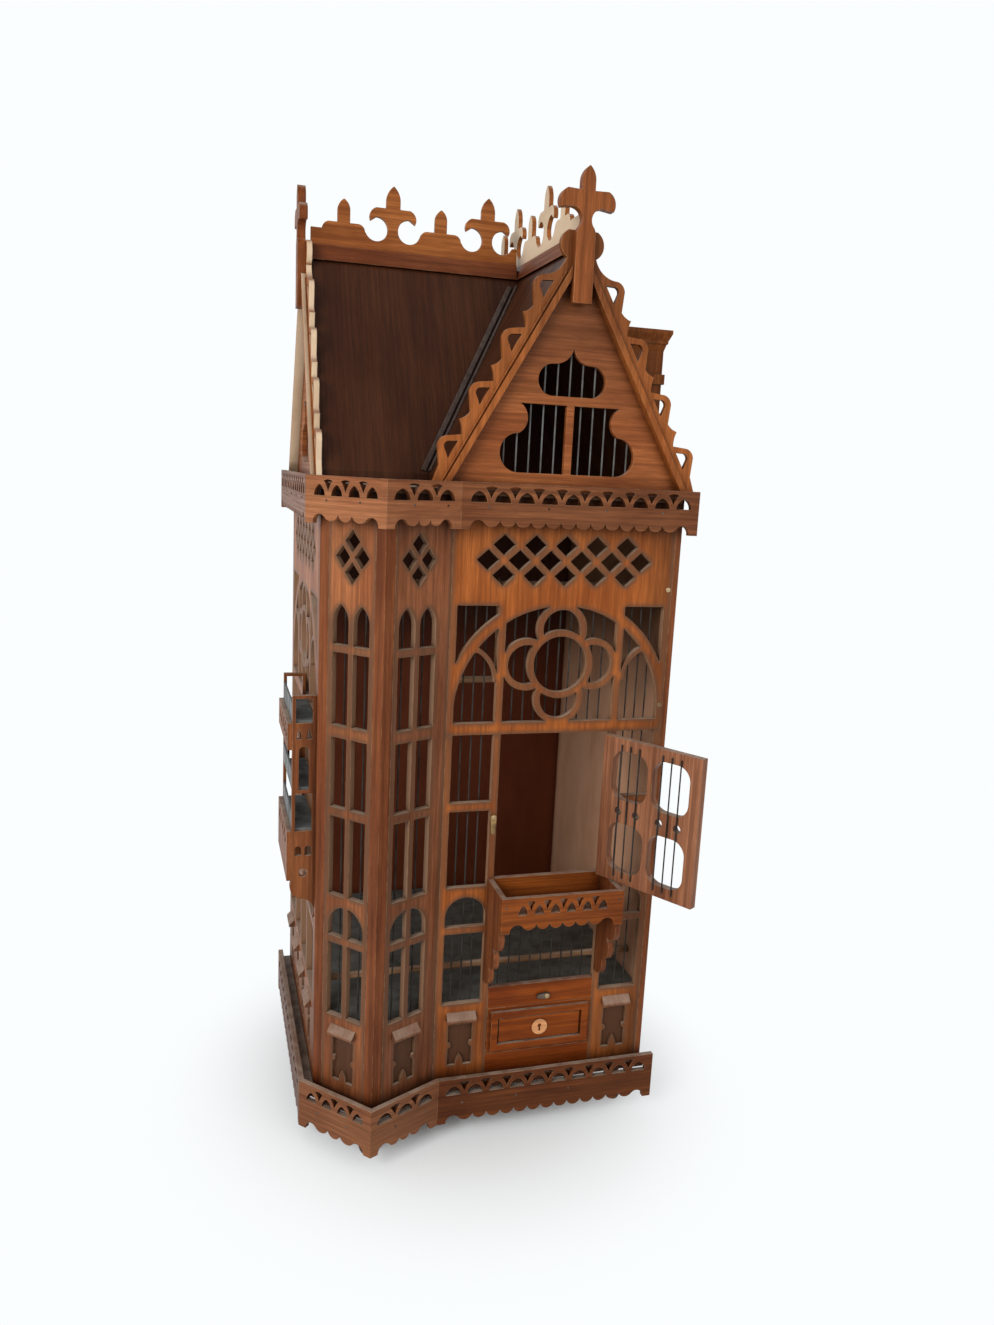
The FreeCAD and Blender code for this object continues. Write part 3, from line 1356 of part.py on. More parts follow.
plate = new_body("plate")
plate_height = (drawer_low + drawer_high) / 2
key = size.key_radius
pad(plate, [disc(0, 0, size.plate_radius),
            loop((-key / 2, -2.5 * key), (key / 2, -2.5 * key), (key / 2, 0),
                 ((0, 2 * key), (-key / 2, 0)))], "sizes.plate_thick")
keep(plate, "drawer_escutcheon",
     at((drawer_left + drawer_right) / 2, -size.drawer_field - size.plate_thick, plate_height))

button = turn_button("button", size.button_length / 2, size.button_half, "sizes.button_thick")
button_place = at(size.front_width / 2 + size.button_shift, -size.catch_gap - size.button_thick,
                  size.floor_height + size.button_lift)
keep(button, "drawer_button",
     button_place.multiply(Placement(Vector(0, 0, 0), Rotation(Vector(0, 1, 0), 90))))


# Oriel on the left wall: two fretted sides, a band and an apron before them, and three zinc trays

oriel_near = size.bay_setback + size.post_face
oriel_left = -size.left_reach - size.oriel_reach
oriel_foot = size.rail_height - size.oriel_drop
oriel_low = oriel_foot + size.oriel_ogee
oriel_sill = oriel_low + size.oriel_apron
oriel_middle = oriel_sill + size.oriel_lower
band_low = oriel_middle + size.oriel_upper
band_top = band_low + size.oriel_band
oriel_top = band_top + size.oriel_head


def oriel_side(name):
    """A side board with three open lights, pairs of small arches, an eye and an ogee foot."""
    body = new_body(name)
    reach = size.oriel_reach
    stile = size.oriel_stile
    middle = reach / 2
    bend = size.oriel_ogee / 2
    outline = loop(
        (reach, oriel_foot), (reach, oriel_top), (0, oriel_top), (0, oriel_low),
        ((reach * 0.12, oriel_low - bend * 0.8), (reach * 0.5, oriel_low - bend)),
        ((reach * 0.85, oriel_low - bend * 1.25), (reach * 0.92, oriel_foot)))
    loops = [outline,
             rectangle(stile, band_top, reach - stile, oriel_top - stile),
             round_light(2 * stile, reach - 2 * stile, oriel_middle, band_low - stile, band_low + stile),
             rectangle(stile, oriel_sill, reach - stile, oriel_middle - stile)]
    half = (reach - 3 * stile) / 4
    apron_low = oriel_sill - size.oriel_apron * 0.5
    for u in (middle - half - stile / 2, middle + half + stile / 2):
        loops.append(pointed_arch(u, half * 0.8, band_low + size.oriel_band * 0.4,
                                  band_top - size.oriel_band * 0.2))
        loops.append(round_light(u - half, u + half, apron_low, apron_low + half * 2, apron_low + half * 3))
    loops.append(disc(middle, oriel_low + size.oriel_apron * 0.15, half * 1.3))
    pad(body, loops, "sizes.oriel_thick")
    return body


near_side = oriel_side("oriel_near")
near_side.Placement = at(oriel_left, oriel_near)
far_side = oriel_side("oriel_far")
far_side.Placement = at(oriel_left, oriel_near + size.oriel_length - size.oriel_thick)
keep(group("oriel_side_pair", [near_side, far_side]), "oriel_sides")

oriel_start = (oriel_left - size.oriel_thick, oriel_near + size.oriel_length)
band = new_body("oriel_band_board")
pad(band, [rectangle(0, 0, size.oriel_length, size.oriel_band),
           *arcade(size.oriel_length, size.oriel_band, size.arcade_margin, size.arch_pitch)],
    "sizes.oriel_thick")
band.Placement = at(*oriel_start, band_low, LEFT_TURN)
apron = new_body("oriel_apron_board")
pad(apron, [rectangle(0, 0, size.oriel_length, size.oriel_apron),
            *arcade(size.oriel_length, size.oriel_apron, size.arcade_margin, size.arch_pitch)],
    "sizes.oriel_thick")
apron.Placement = at(*oriel_start, oriel_low, LEFT_TURN)
keep(group("oriel_front_pair", [band, apron]), "oriel_fronts")


def zinc_tray(name, level):
    """A shelf of sheet with its outer edge turned up, between the two sides."""
    body = new_body(name)
    reach = size.oriel_reach
    sheet_thick = size.shelf_thick
    pad(body, [loop((0, 0), (reach, 0), (reach, sheet_thick), (sheet_thick, sheet_thick),
                    (sheet_thick, size.shelf_lip), (0, size.shelf_lip))],
        "sizes.oriel_length - 2 * sizes.oriel_thick")
    body.Placement = at(oriel_left, oriel_near + size.oriel_thick, level)
    return body


keep(group("oriel_tray_set", [zinc_tray(f"oriel_tray_{number}", level)
                              for number, level in enumerate((oriel_sill, oriel_middle, band_top))]),
     "oriel_shelves")


# Perches and swing

high_perch = size.light_top + size.perch_head
low_perch_back = oriel_near + size.perch_radius + size.perch_play
perch_left = size.fret_thick - size.left_reach + size.perch_play
PERCH = "sizes.front_width + sizes.left_reach - sizes.fret_thick - 2 * sizes.perch_play"
ALONG_X = Rotation(Vector(0, 1, 0), 90)


def perch(name, back, height):
    return rod(name, "sizes.perch_radius", PERCH,
               at(perch_left, back, height).multiply(Placement(Vector(0, 0, 0), ALONG_X)))


keep(group("perch_pair", [perch("low_perch", low_perch_back, size.sill_height + size.perch_lift),
                          perch("high_perch", size.high_perch_back, high_perch)]), "perches")


def wire_ring(name):
    """A ring of six-sided wire."""
    places = []
    for corner in range(6):
        angle = math.radians(60 * corner)
        places.append((size.swing_ring + size.swing_wire * math.cos(angle),
                       size.swing_wire * math.sin(angle)))
    return turned(name, loop(*places))


ring_drop = size.swing_ring - size.swing_wire - size.perch_radius - size.perch_play
ring_height = high_perch - ring_drop
swing_back = size.high_perch_back
swing_pieces = []
for number, x in enumerate((size.swing_left, size.swing_left + size.swing_width)):
    ring = wire_ring(f"swing_ring_{number}")
    ring.Placement = at(x, swing_back, ring_height).multiply(Placement(Vector(0, 0, 0), ALONG_X))
    hanger = rod(f"swing_hanger_{number}", "sizes.swing_wire", "sizes.swing_drop - sizes.swing_ring",
                 at(x, swing_back, ring_height - size.swing_drop))
    swing_pieces += [ring, hanger]
swing_perch = rod("swing_perch", "sizes.perch_radius", "sizes.swing_width + 2 * sizes.swing_ring",
                  at(size.swing_left - size.swing_ring, swing_back, ring_height - size.swing_drop)
                  .multiply(Placement(Vector(0, 0, 0), ALONG_X)))
keep(fused("swing_pieces", swing_pieces + [swing_perch]), "swing")


# Centre the whole on its footprint, check everything, then write one file for each sub-part

doc.recompute()
whole = Part.makeCompound([item.Shape for item in nodes]).optimalBoundingBox()
to_origin = Vector(-whole.Center.x, -whole.Center.y, -whole.ZMin)
for item in nodes:
    item.Placement = Placement(to_origin, Rotation()).multiply(item.Placement)
doc.recompute()
failed = [item.Name for item in doc.Objects if "Invalid" in item.State or "Error" in item.State]
if failed:
    raise RuntimeError(f"these objects did not build: {failed}")
for item in nodes:
    if item.Shape.isNull() or not item.Shape.isValid() or not item.Shape.Solids:
        raise RuntimeError(f"no valid solid in {item.Label}")
os.makedirs("parts", exist_ok=True)
for item in nodes:
    item.Shape.exportStep(f"parts/{item.Label}.step")
print(f"{len(nodes)} sub-parts")
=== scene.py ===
"""Looks of a Gothic fret-sawn bird cage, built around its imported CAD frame."""
import math

import bpy
from mathutils import Matrix, Vector


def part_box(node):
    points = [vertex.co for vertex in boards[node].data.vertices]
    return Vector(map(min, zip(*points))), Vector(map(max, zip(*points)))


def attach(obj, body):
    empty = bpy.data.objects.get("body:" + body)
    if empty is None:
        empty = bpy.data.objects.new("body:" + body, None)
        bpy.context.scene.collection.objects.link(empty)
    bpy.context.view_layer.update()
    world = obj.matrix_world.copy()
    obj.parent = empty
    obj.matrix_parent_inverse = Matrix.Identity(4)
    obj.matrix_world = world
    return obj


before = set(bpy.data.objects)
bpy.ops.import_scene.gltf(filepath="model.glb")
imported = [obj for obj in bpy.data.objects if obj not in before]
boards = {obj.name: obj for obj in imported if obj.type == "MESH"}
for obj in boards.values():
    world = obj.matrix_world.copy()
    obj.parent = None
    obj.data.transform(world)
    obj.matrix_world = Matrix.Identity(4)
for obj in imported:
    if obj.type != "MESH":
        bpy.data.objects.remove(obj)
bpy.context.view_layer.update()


# The base: one thick board of oak on five turned feet, with fretted skirt boards pinned before it.
# All wood of the cage is oak with a stain and an old varnish, rubbed pale on its edges, darkened with
# painted shade in its corners and dusty where it faces up, so its finish is worked out here for every
# stain.
# A grain names the axes on which it is fine. A pattern has its size across and along the grain.
UPRIGHT = (True, True, False)
LYING = (False, False, True)
FIGURE = (0.0042, 0.20)
PORES = (0.0009, 0.025)
CLOUDS = (0.06, 0.16)
PORE_DEPTH = 0.0004
EDGE_RADIUS = 0.0013
CORNER_REACH = 0.018
SLENDER_BAR = 0.006
GROUND_FROM = 0.0006
GROUND_BELOW = 0.0013
# Faces given a colour of their own change to a second one between these heights, toward the roof.
ROOFWARD_FROM = 0.46
ROOFWARD_ABOVE = 0.60
DUST = (0.40, 0.31, 0.24)
CORNER_SHADE = (0.22, 0.15, 0.11)
DIMMING = (0.55, 0.56, 0.62)
RUBBED = (0.50, 0.28, 0.14)
SAWN = (0.33, 0.20, 0.12)
SLENDER_SHADE = (0.098, 0.048, 0.026)


def node_of(tree, kind, **settings):
    """A new shader node with its plain properties and its unlinked inputs set."""
    node = tree.nodes.new(kind)
    for name, value in settings.items():
        if hasattr(node, name):
            setattr(node, name, value)
        else:
            node.inputs[name.replace("_", " ").title()].default_value = value
    return node


def grain_space(tree, place, grain, across, along):
    """Coordinates for a grain that is fine on the axes it names and drawn out on the others."""
    mapping = node_of(tree, "ShaderNodeMapping", vector_type="TEXTURE")
    mapping.inputs["Scale"].default_value = tuple(across if fine else along for fine in grain)
    tree.links.new(place, mapping.inputs["Vector"])
    return mapping.outputs["Vector"]


def blended(tree, mode, factor, under, over):
    """Mix two colours; each of the three may be a socket or a plain value."""
    mix = node_of(tree, "ShaderNodeMix", data_type="RGBA", blend_type=mode)
    for socket, value in ((mix.inputs[0], factor), (mix.inputs[6], under), (mix.inputs[7], over)):
        if isinstance(value, bpy.types.NodeSocket):
            tree.links.new(value, socket)
        elif isinstance(value, tuple):
            socket.default_value = (*value, 1.0)
        else:
            socket.default_value = value
    return mix.outputs[2]


def ramped(tree, value, start, end, low=0.0, high=1.0):
    """A value eased from low to high between two bounds."""
    ramp = node_of(tree, "ShaderNodeMapRange", interpolation_type="SMOOTHSTEP", clamp=True)
    for name, number in (("From Min", start), ("From Max", end), ("To Min", low), ("To Max", high)):
        ramp.inputs[name].default_value = number
    tree.links.new(value, ramp.inputs["Value"])
    return ramp.outputs["Result"]


def times(tree, one, other):
    """The product of two sockets."""
    product = node_of(tree, "ShaderNodeMath", operation="MULTIPLY")
    tree.links.new(one, product.inputs[0])
    tree.links.new(other, product.inputs[1])
    return product.outputs["Value"]


def noise_of(tree, space, scale=1.0, detail=3.0, roughness=0.55, distortion=0.0):
    """The value of a noise in a space, from nought to one."""
    noise = node_of(tree, "ShaderNodeTexNoise", scale=scale, detail=detail, roughness=roughness,
                    distortion=distortion)
    tree.links.new(space, noise.inputs["Vector"])
    return noise.outputs["Fac"]


def measured(tree, vector, direction):
    """How far a vector reaches along a direction."""
    reach = node_of(tree, "ShaderNodeVectorMath", operation="DOT_PRODUCT")
    tree.links.new(vector, reach.inputs[0])
    reach.inputs[1].default_value = direction
    return reach.outputs["Value"]


def facing(tree, normal, direction, start, end):
    """How far a face looks in a direction, eased between two cosines."""
    return ramped(tree, measured(tree, normal, direction), start, end)


def stained_oak(name, pale, deep, grain=UPRIGHT, wear=0.75, gloss=0.36, dust=0.60, bare_and_lit=None,
                joints=None, darkened_toward=(), sunk=None):
    """Oak with streaky figure, pores, cloudy stain, rubbed edges, painted shade in its corners and dust
    on its ledges.

    bare_and_lit is a direction and two colours for the faces that look that way, in place of the
    varnish:
    unvarnished wood on the walls' inner faces, and painted light where the key strikes; the second
    colour is the one they take toward the roof. joints is the axis and width of edge-glued boards.
    darkened_toward holds directions, the bounds between which the colour darkens along them, and its
    amount;
    toward the foot, under the cornice and below the bay's frieze this is painted shade. sunk is a
    board's outward direction and the distance of its face along it: the recess cut back behind that
    plane gets painted shade, slender bars are darkened as painted shade, and the sawn edges of the
    fretwork are paler.
    """
    material = bpy.data.materials.new(name)
    material.use_nodes = True
    tree = material.node_tree
    shader = tree.nodes["Principled BSDF"]
    shader.inputs["Specular IOR Level"].default_value = 0.10
    coordinates = node_of(tree, "ShaderNodeTexCoord")
    place = coordinates.outputs["Object"]
    normal = coordinates.outputs["Normal"]

    figure = noise_of(tree, grain_space(tree, place, grain, *FIGURE), detail=5, distortion=0.3)
    pores = noise_of(tree, grain_space(tree, place, grain, *PORES), detail=2)
    stain = noise_of(tree, grain_space(tree, place, grain, *CLOUDS), detail=4)
    height = node_of(tree, "ShaderNodeSeparateXYZ")
    tree.links.new(place, height.inputs["Vector"])
    colour = blended(tree, "MIX", ramped(tree, figure, 0.30, 0.70), deep, pale)
    pore_mask = ramped(tree, pores, 0.60, 0.42)
    shade = tuple(channel * 0.5 for channel in deep)
    colour = blended(tree, "MIX", ramped(tree, pore_mask, 0.25, 1.0, 0.28, 0.0), colour, shade)
    cloudy = ramped(tree, stain, 0.34, 0.62, 0.75, 0.0)
    colour = blended(tree, "MULTIPLY", cloudy, colour, (0.58, 0.46, 0.38))
    for direction, start, end, amount in darkened_toward:
        dimmed = ramped(tree, measured(tree, place, direction), start, end, 0.0, amount)
        colour = blended(tree, "MULTIPLY", dimmed, colour, DIMMING)
    if sunk is not None:
        direction, plane = sunk
        depth = measured(tree, place, direction)
        # Painted shade: the recess cut back behind the face is darkened.
        behind = ramped(tree, depth, plane - GROUND_FROM, plane - GROUND_BELOW)
        recess_shade = times(tree, behind, facing(tree, normal, direction, 0.8, 0.95))
        # Painted shade: slender bars, found by ambient occlusion inside the board, are mixed toward a
        # dull dark brown.
        slender = node_of(tree, "ShaderNodeAmbientOcclusion", samples=5, inside=True)
        slender.inputs["Distance"].default_value = SLENDER_BAR
        thin = ramped(tree, slender.outputs["AO"], 0.99, 0.62, 0.0, 0.85)
        colour = blended(tree, "MIX", thin, colour, SLENDER_SHADE)
        colour = blended(tree, "MULTIPLY", recess_shade, colour, (0.62, 0.56, 0.50))
        turned = node_of(tree, "ShaderNodeMath", operation="ABSOLUTE")
        tree.links.new(measured(tree, normal, direction), turned.inputs[0])
        sawn = ramped(tree, turned.outputs["Value"], 0.5, 0.2, 0.0, 0.5)
        colour = blended(tree, "MIX", sawn, colour, SAWN)
    if joints is not None:
        axis, width = joints
        line, tone = board_joints(tree, height.outputs[axis], width)
        colour = blended(tree, "MULTIPLY", tone, colour, (0.66, 0.58, 0.52))
        colour = blended(tree, "MULTIPLY", line, colour, (0.18, 0.14, 0.12))
    if bare_and_lit is not None:
        direction, raw, roof_colour = bare_and_lit
        roofward = ramped(tree, height.outputs["Z"], ROOFWARD_FROM, ROOFWARD_ABOVE)
        risen = blended(tree, "MIX", roofward, raw, roof_colour)
        streaks = ramped(tree, stain, 0.35, 0.65, 0.55, 0.0)
        streaked = blended(tree, "MULTIPLY", streaks, risen, (0.60, 0.52, 0.45))
        colour = blended(tree, "MIX", facing(tree, normal, direction, 0.5, 0.8), colour, streaked)

    rounded = node_of(tree, "ShaderNodeBevel", samples=4)
    rounded.inputs["Radius"].default_value = EDGE_RADIUS
    surface = node_of(tree, "ShaderNodeNewGeometry")
    bend = node_of(tree, "ShaderNodeVectorMath", operation="DOT_PRODUCT")
    tree.links.new(rounded.outputs["Normal"], bend.inputs[0])
    tree.links.new(surface.outputs["Normal"], bend.inputs[1])
    edge = ramped(tree, bend.outputs["Value"], 1.0, 0.65)
    patches = ramped(tree, noise_of(tree, place, scale=70.0, detail=4), 0.40, 0.62, 0.10, wear)
    colour = blended(tree, "MIX", times(tree, edge, patches), colour, RUBBED)

    # Painted shade: the colour is darkened where ambient occlusion finds surfaces close by, in corners
    # and recesses.
    corner = node_of(tree, "ShaderNodeAmbientOcclusion", samples=5)
    corner.inputs["Distance"].default_value = CORNER_REACH
    corner_shade = ramped(tree, corner.outputs["AO"], 0.88, 0.28, 0.0, 0.85)
    colour = blended(tree, "MULTIPLY", corner_shade, colour, CORNER_SHADE)
    settled = ramped(tree, noise_of(tree, place, scale=60.0, detail=3), 0.30, 0.66, 0.45 * dust, dust)
    ledge = facing(tree, normal, (0.0, 0.0, 1.0), 0.52, 0.85)
    colour = blended(tree, "MIX", times(tree, ledge, settled), colour, DUST)
    tree.links.new(colour, shader.inputs["Base Color"])
    tree.links.new(ramped(tree, figure, 0.3, 0.7, gloss + 0.14, gloss), shader.inputs["Roughness"])

    relief = node_of(tree, "ShaderNodeBump", strength=0.3, distance=PORE_DEPTH)
    tree.links.new(pore_mask, relief.inputs["Height"])
    tree.links.new(rounded.outputs["Normal"], relief.inputs["Normal"])
    tree.links.new(relief.outputs["Normal"], shader.inputs["Normal"])
    return material


def finish_with(material, *names):
    """Give CAD boards their finish in place of the plain packed colour."""
    for name in names:
        boards[name].data.materials.clear()
        boards[name].data.materials.append(material)


def old_metal(name, bright, dull, metallic=0.6, smooth=0.42):
    """Metal that has lost its shine in patches."""
    material = bpy.data.materials.new(name)
    material.use_nodes = True
    tree = material.node_tree
    shader = tree.nodes["Principled BSDF"]
    shader.inputs["Metallic"].default_value = metallic
    shader.inputs["Specular IOR Level"].default_value = 0.12
    place = node_of(tree, "ShaderNodeTexCoord").outputs["Object"]
    patches = noise_of(tree, place, scale=45.0, detail=5)
    worn = blended(tree, "MIX", ramped(tree, patches, 0.38, 0.66), bright, dull)
    tree.links.new(worn, shader.inputs["Base Color"])
    tree.links.new(ramped(tree, patches, 0.4, 0.65, smooth, smooth + 0.3), shader.inputs["Roughness"])
    return material


finish_with(stained_oak("base_oak", (0.16, 0.060, 0.023), (0.08, 0.029, 0.011), LYING),
            "base_board", "bun_feet")
finish_with(stained_oak("skirt_oak", (0.145, 0.041, 0.010), (0.074, 0.020, 0.005), LYING),
            "skirt_front", "skirt_left")
# Painted light: the bay's skirt, turned toward the key, has a lighter copy of the skirt's oak.
finish_with(stained_oak("skirt_oak_lit_bay", (0.27, 0.104, 0.043), (0.16, 0.060, 0.025), LYING), "skirt_bay")


# The skirt's pins: small flat heads of iron, driven in one row along each board.
# Their places, like all places in millimetres here, are counted from the front wall's left corner, and
# the corners are those of the walls in plan, from the back of the left wall to the right of the front.
WALL_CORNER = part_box("front_upper_tracery")[0]
WALL_RIGHT = 257.0
WALL_LEFT = -132.0
WALL_BACK = 332.0
CORNERS = ((WALL_LEFT, WALL_BACK), (WALL_LEFT, 25.0), (-75.1, -35.4), (0.0, 0.0), (WALL_RIGHT, 0.0))
PIN_RADIUS = 0.0012
PIN_RISE = 0.0006
PIN_SPACING = 62.0
SKIRT_REACH = 16.0
SKIRT_PINS_UP = 46.0
TURN_EACH = 1.9


def house(x, y, z):
    """A place given in millimetres from the front wall's left corner and the ground."""
    return Vector((WALL_CORNER[0] + x / 1000, WALL_CORNER[1] + y / 1000, z / 1000))


def round_head(vertices, radius, rise, rounding, segments):
    """A round head with its rim softened by a share of its height, its foot at the origin."""
    bpy.ops.object.select_all(action="DESELECT")
    bpy.ops.mesh.primitive_cylinder_add(vertices=vertices, radius=radius, depth=rise,
                                        location=(0, 0, rise / 2))
    head = bpy.context.object
    bpy.ops.object.transform_apply()
    bpy.ops.object.mode_set(mode="EDIT")
    bpy.ops.mesh.select_all(action="DESELECT")
    bpy.ops.object.mode_set(mode="OBJECT")
    for face in head.data.polygons:
        face.select = face.normal.z > 0.9
    bpy.ops.object.mode_set(mode="EDIT")
    bpy.ops.mesh.bevel(offset=rise * rounding, segments=segments, affect="EDGES")
    bpy.ops.object.mode_set(mode="OBJECT")
    return head


def drive(name, head, seats, material, body, size=1.0):
    """Copies of a modelled head set on their seats, each turned to face outward, as one piece."""
    bpy.ops.object.select_all(action="DESELECT")
    for number, (place, outward) in enumerate(seats):
        copy = head.copy()
        copy.data = head.data.copy()
        bpy.context.collection.objects.link(copy)
        aim = outward.to_track_quat("Z", "Y").to_matrix().to_4x4()
        turned = aim @ Matrix.Rotation(TURN_EACH * number, 4, "Z")
        copy.matrix_world = Matrix.Translation(place) @ turned @ Matrix.Scale(size, 4)
        copy.select_set(True)
    bpy.context.view_layer.objects.active = copy
    if len(seats) > 1:
        bpy.ops.object.join()
    piece = bpy.context.object
    piece.name = name
    bpy.ops.object.transform_apply()
    piece.data.materials.clear()
    piece.data.materials.append(material)
    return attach(piece, body)


def wall_seats(level, reach):
    """Even places along the left wall, the bay and the front wall, this far out from their faces."""
    seats = []
    for start, end in zip(CORNERS, CORNERS[1:]):
        run = Vector((end[0] - start[0], end[1] - start[1]))
        outward = Vector((run.y, -run.x, 0.0)).normalized()
        count = max(2, round(run.length / PIN_SPACING))
        for number in range(count):
            along = (number + 0.5) / count
            x = start[0] + run.x * along + outward.x * reach
            y = start[1] + run.y * along + outward.y * reach
            seats.append((house(x, y, level), outward))
    return seats


pin = round_head(10, PIN_RADIUS, PIN_RISE, 0.6, 1)
pin_iron = old_metal("pin_iron", (0.12, 0.095, 0.075), (0.05, 0.032, 0.022))
drive("skirt_pins", pin, wall_seats(SKIRT_PINS_UP, SKIRT_REACH), pin_iron, "cage")


# The walls: fret-sawn boards of straight-grained oak between darker posts, the warmest wood of the cage.
# Each dado panel is sunk below a little sloped cap, glued on, that has gathered dust.
# Painted shade darkens them toward the foot, under the cornice and, on the bay, below the frieze.
# The front is also darker toward its right edge.
UP = (0.0, 0.0, 1.0)
DOWN = (0.0, 0.0, -1.0)
TO_THE_RIGHT = (1.0, 0.0, 0.0)
# Painted shade: darker toward the foot, just under the cornice, and on the bay below its frieze.
FOOT_SHADE = (DOWN, -0.175, -0.12, 0.80)
CORNICE_SHADE = (UP, 0.655, 0.700, 0.55)
BAY_LOWER_SHADE = (DOWN, -0.64, -0.57, 0.60)
FRET = ((0.44, 0.130, 0.028), (0.27, 0.076, 0.016))
BAY = ((0.42, 0.148, 0.054), (0.24, 0.082, 0.030))
SHADED_BAY = ((0.33, 0.115, 0.047), (0.18, 0.062, 0.025))
BAY_LEFT_OUT = (-0.728, -0.686)
BAY_RIGHT_OUT = (0.4265, -0.9045)


def wall_plane(corner, outward):
    """A wall's outward direction and how far its face stands along it."""
    direction = Vector((*outward, 0.0)).normalized()
    return tuple(direction), house(*corner, 0.0).dot(direction)


front_plane = wall_plane(CORNERS[3], (0.0, -1.0))
left_plane = wall_plane(CORNERS[0], (-1.0, 0.0))
right_edge_darkening = (TO_THE_RIGHT, WALL_CORNER[0] + 0.205, WALL_CORNER[0] + 0.245, 0.95)
finish_with(stained_oak("fret_oak", *FRET, darkened_toward=(FOOT_SHADE, CORNICE_SHADE, right_edge_darkening), sunk=front_plane),
            "front_upper_tracery", "front_left_panel", "front_right_panel")
finish_with(stained_oak("bay_left_oak", *BAY, darkened_toward=(BAY_LOWER_SHADE, CORNICE_SHADE),
                        sunk=wall_plane(CORNERS[2], BAY_LEFT_OUT)), "bay_left_panel")
# Painted shade: the right bay panel, turned away from the key, has darker copies of the bay's colours.
finish_with(stained_oak("bay_right_oak", *SHADED_BAY, darkened_toward=(BAY_LOWER_SHADE, CORNICE_SHADE),
                        sunk=wall_plane(CORNERS[3], BAY_RIGHT_OUT)), "bay_right_panel")
finish_with(stained_oak("left_oak", *BAY, darkened_toward=(FOOT_SHADE, CORNICE_SHADE), sunk=left_plane),
            "left_upper_tracery", "left_lower_panel")
finish_with(stained_oak("rail_oak", (0.26, 0.055, 0.005), (0.15, 0.030, 0.003), LYING),
            "front_sill_rail", "front_lower_rail")
finish_with(stained_oak("post_oak", (0.24, 0.072, 0.024), (0.13, 0.039, 0.013)), "corner_posts")
finish_with(stained_oak("cap_oak", (0.26, 0.125, 0.075), (0.17, 0.075, 0.042), dust=0.75), "pent_caps")


# The stile's screws: two slotted heads of old brass that hold the right stile to the wall behind it.
# The head is domed by a bevel and its slot cut out, and copies of it serve the hinges, hook and button.
SCREW_RADIUS = 0.0028
SCREW_RISE = 0.0012
SLOT_WIDTH = 0.28
SLOT_DEPTH = 0.45
STILE_MIDDLE = 246.0
STILE_SCREWS_UP = (633.0, 503.0)


def screw_head():
    """A domed head with a straight slot, its foot at the origin."""
    head = round_head(20, SCREW_RADIUS, SCREW_RISE, 0.8, 3)
    bpy.ops.mesh.primitive_cube_add(size=1.0, location=(0, 0, SCREW_RISE))
    slot = bpy.context.object
    slot.scale = (SCREW_RADIUS * 3, SCREW_RADIUS * SLOT_WIDTH, SCREW_RISE * SLOT_DEPTH * 2)
    bpy.ops.object.select_all(action="DESELECT")
    head.select_set(True)
    bpy.context.view_layer.objects.active = head
    bpy.ops.object.modifier_add(type="BOOLEAN")
    head.modifiers[-1].object = slot
    head.modifiers[-1].solver = "EXACT"
    bpy.ops.object.modifier_apply(modifier=head.modifiers[-1].name)
    bpy.data.objects.remove(slot)
    return head


FRONT = Vector((0.0, -1.0, 0.0))
screw = screw_head()
screw_brass = old_metal("screw_brass", (0.42, 0.30, 0.17), (0.17, 0.10, 0.05))
stile_seats = [(house(STILE_MIDDLE, 0, level), FRONT) for level in STILE_SCREWS_UP]
drive("stile_screws", screw, stile_seats, screw_brass, "cage")


# The solid right and back walls: plain boards, varnished outside, limed or stained dark inside, and
# nailed along their edges. The floor is lined with zinc, and the frame under the roof is bare oak.
BACK = Vector((0.0, 1.0, 0.0))
RIGHT = Vector((1.0, 0.0, 0.0))
LIMED = ((-1.0, 0.0, 0.0), (0.56, 0.31, 0.19), (0.13, 0.060, 0.030))
DARKENED = ((0.0, -1.0, 0.0), (0.135, 0.032, 0.012), (0.045, 0.014, 0.007))
RIGHT_BOARDS = ("Y", 0.108)
BACK_BOARDS = ("X", 0.097)
JOINT_LINE = 0.0007
JOINT_CORE = 0.0002


def board_joints(tree, offset, width):
    """A thin dark line at each glued joint of a wall, and a tone that differs from board to board."""
    count = node_of(tree, "ShaderNodeMath", operation="DIVIDE")
    count.inputs[1].default_value = width
    tree.links.new(offset, count.inputs[0])
    turn = node_of(tree, "ShaderNodeMath", operation="PINGPONG")
    turn.inputs[1].default_value = 0.5
    tree.links.new(count.outputs["Value"], turn.inputs[0])
    board = node_of(tree, "ShaderNodeMath", operation="FLOOR")
    tree.links.new(count.outputs["Value"], board.inputs[0])
    chance = node_of(tree, "ShaderNodeTexWhiteNoise", noise_dimensions="1D")
    tree.links.new(board.outputs["Value"], chance.inputs["W"])
    line = ramped(tree, turn.outputs["Value"], JOINT_LINE / width, JOINT_CORE / width)
    return line, ramped(tree, chance.outputs["Value"], 0.0, 1.0, 0.0, 0.9)


finish_with(stained_oak("wall_oak", (0.24, 0.076, 0.026), (0.13, 0.040, 0.014), gloss=0.5,
                        joints=RIGHT_BOARDS, bare_and_lit=LIMED), "right_wall")
finish_with(stained_oak("back_oak", (0.20, 0.070, 0.027), (0.10, 0.034, 0.013), gloss=0.5,
                        joints=BACK_BOARDS, bare_and_lit=DARKENED), "back_wall")
finish_with(old_metal("floor_zinc", (0.15, 0.155, 0.14), (0.10, 0.097, 0.083), 0.3, 0.55), "floor_board")
finish_with(stained_oak("frame_oak", (0.19, 0.095, 0.05), (0.11, 0.052, 0.028), LYING, gloss=0.6),
            "cornice_frame")
NAIL_FOOT = 72.0
NAIL_HEAD = 726.0
NAIL_EDGE = 4.0
NAILS_UP_RIGHT = range(150, 651, 125)
NAILS_UP_BACK = range(150, 711, 140)
NAILS_ALONG_RIGHT = range(20, 309, 72)
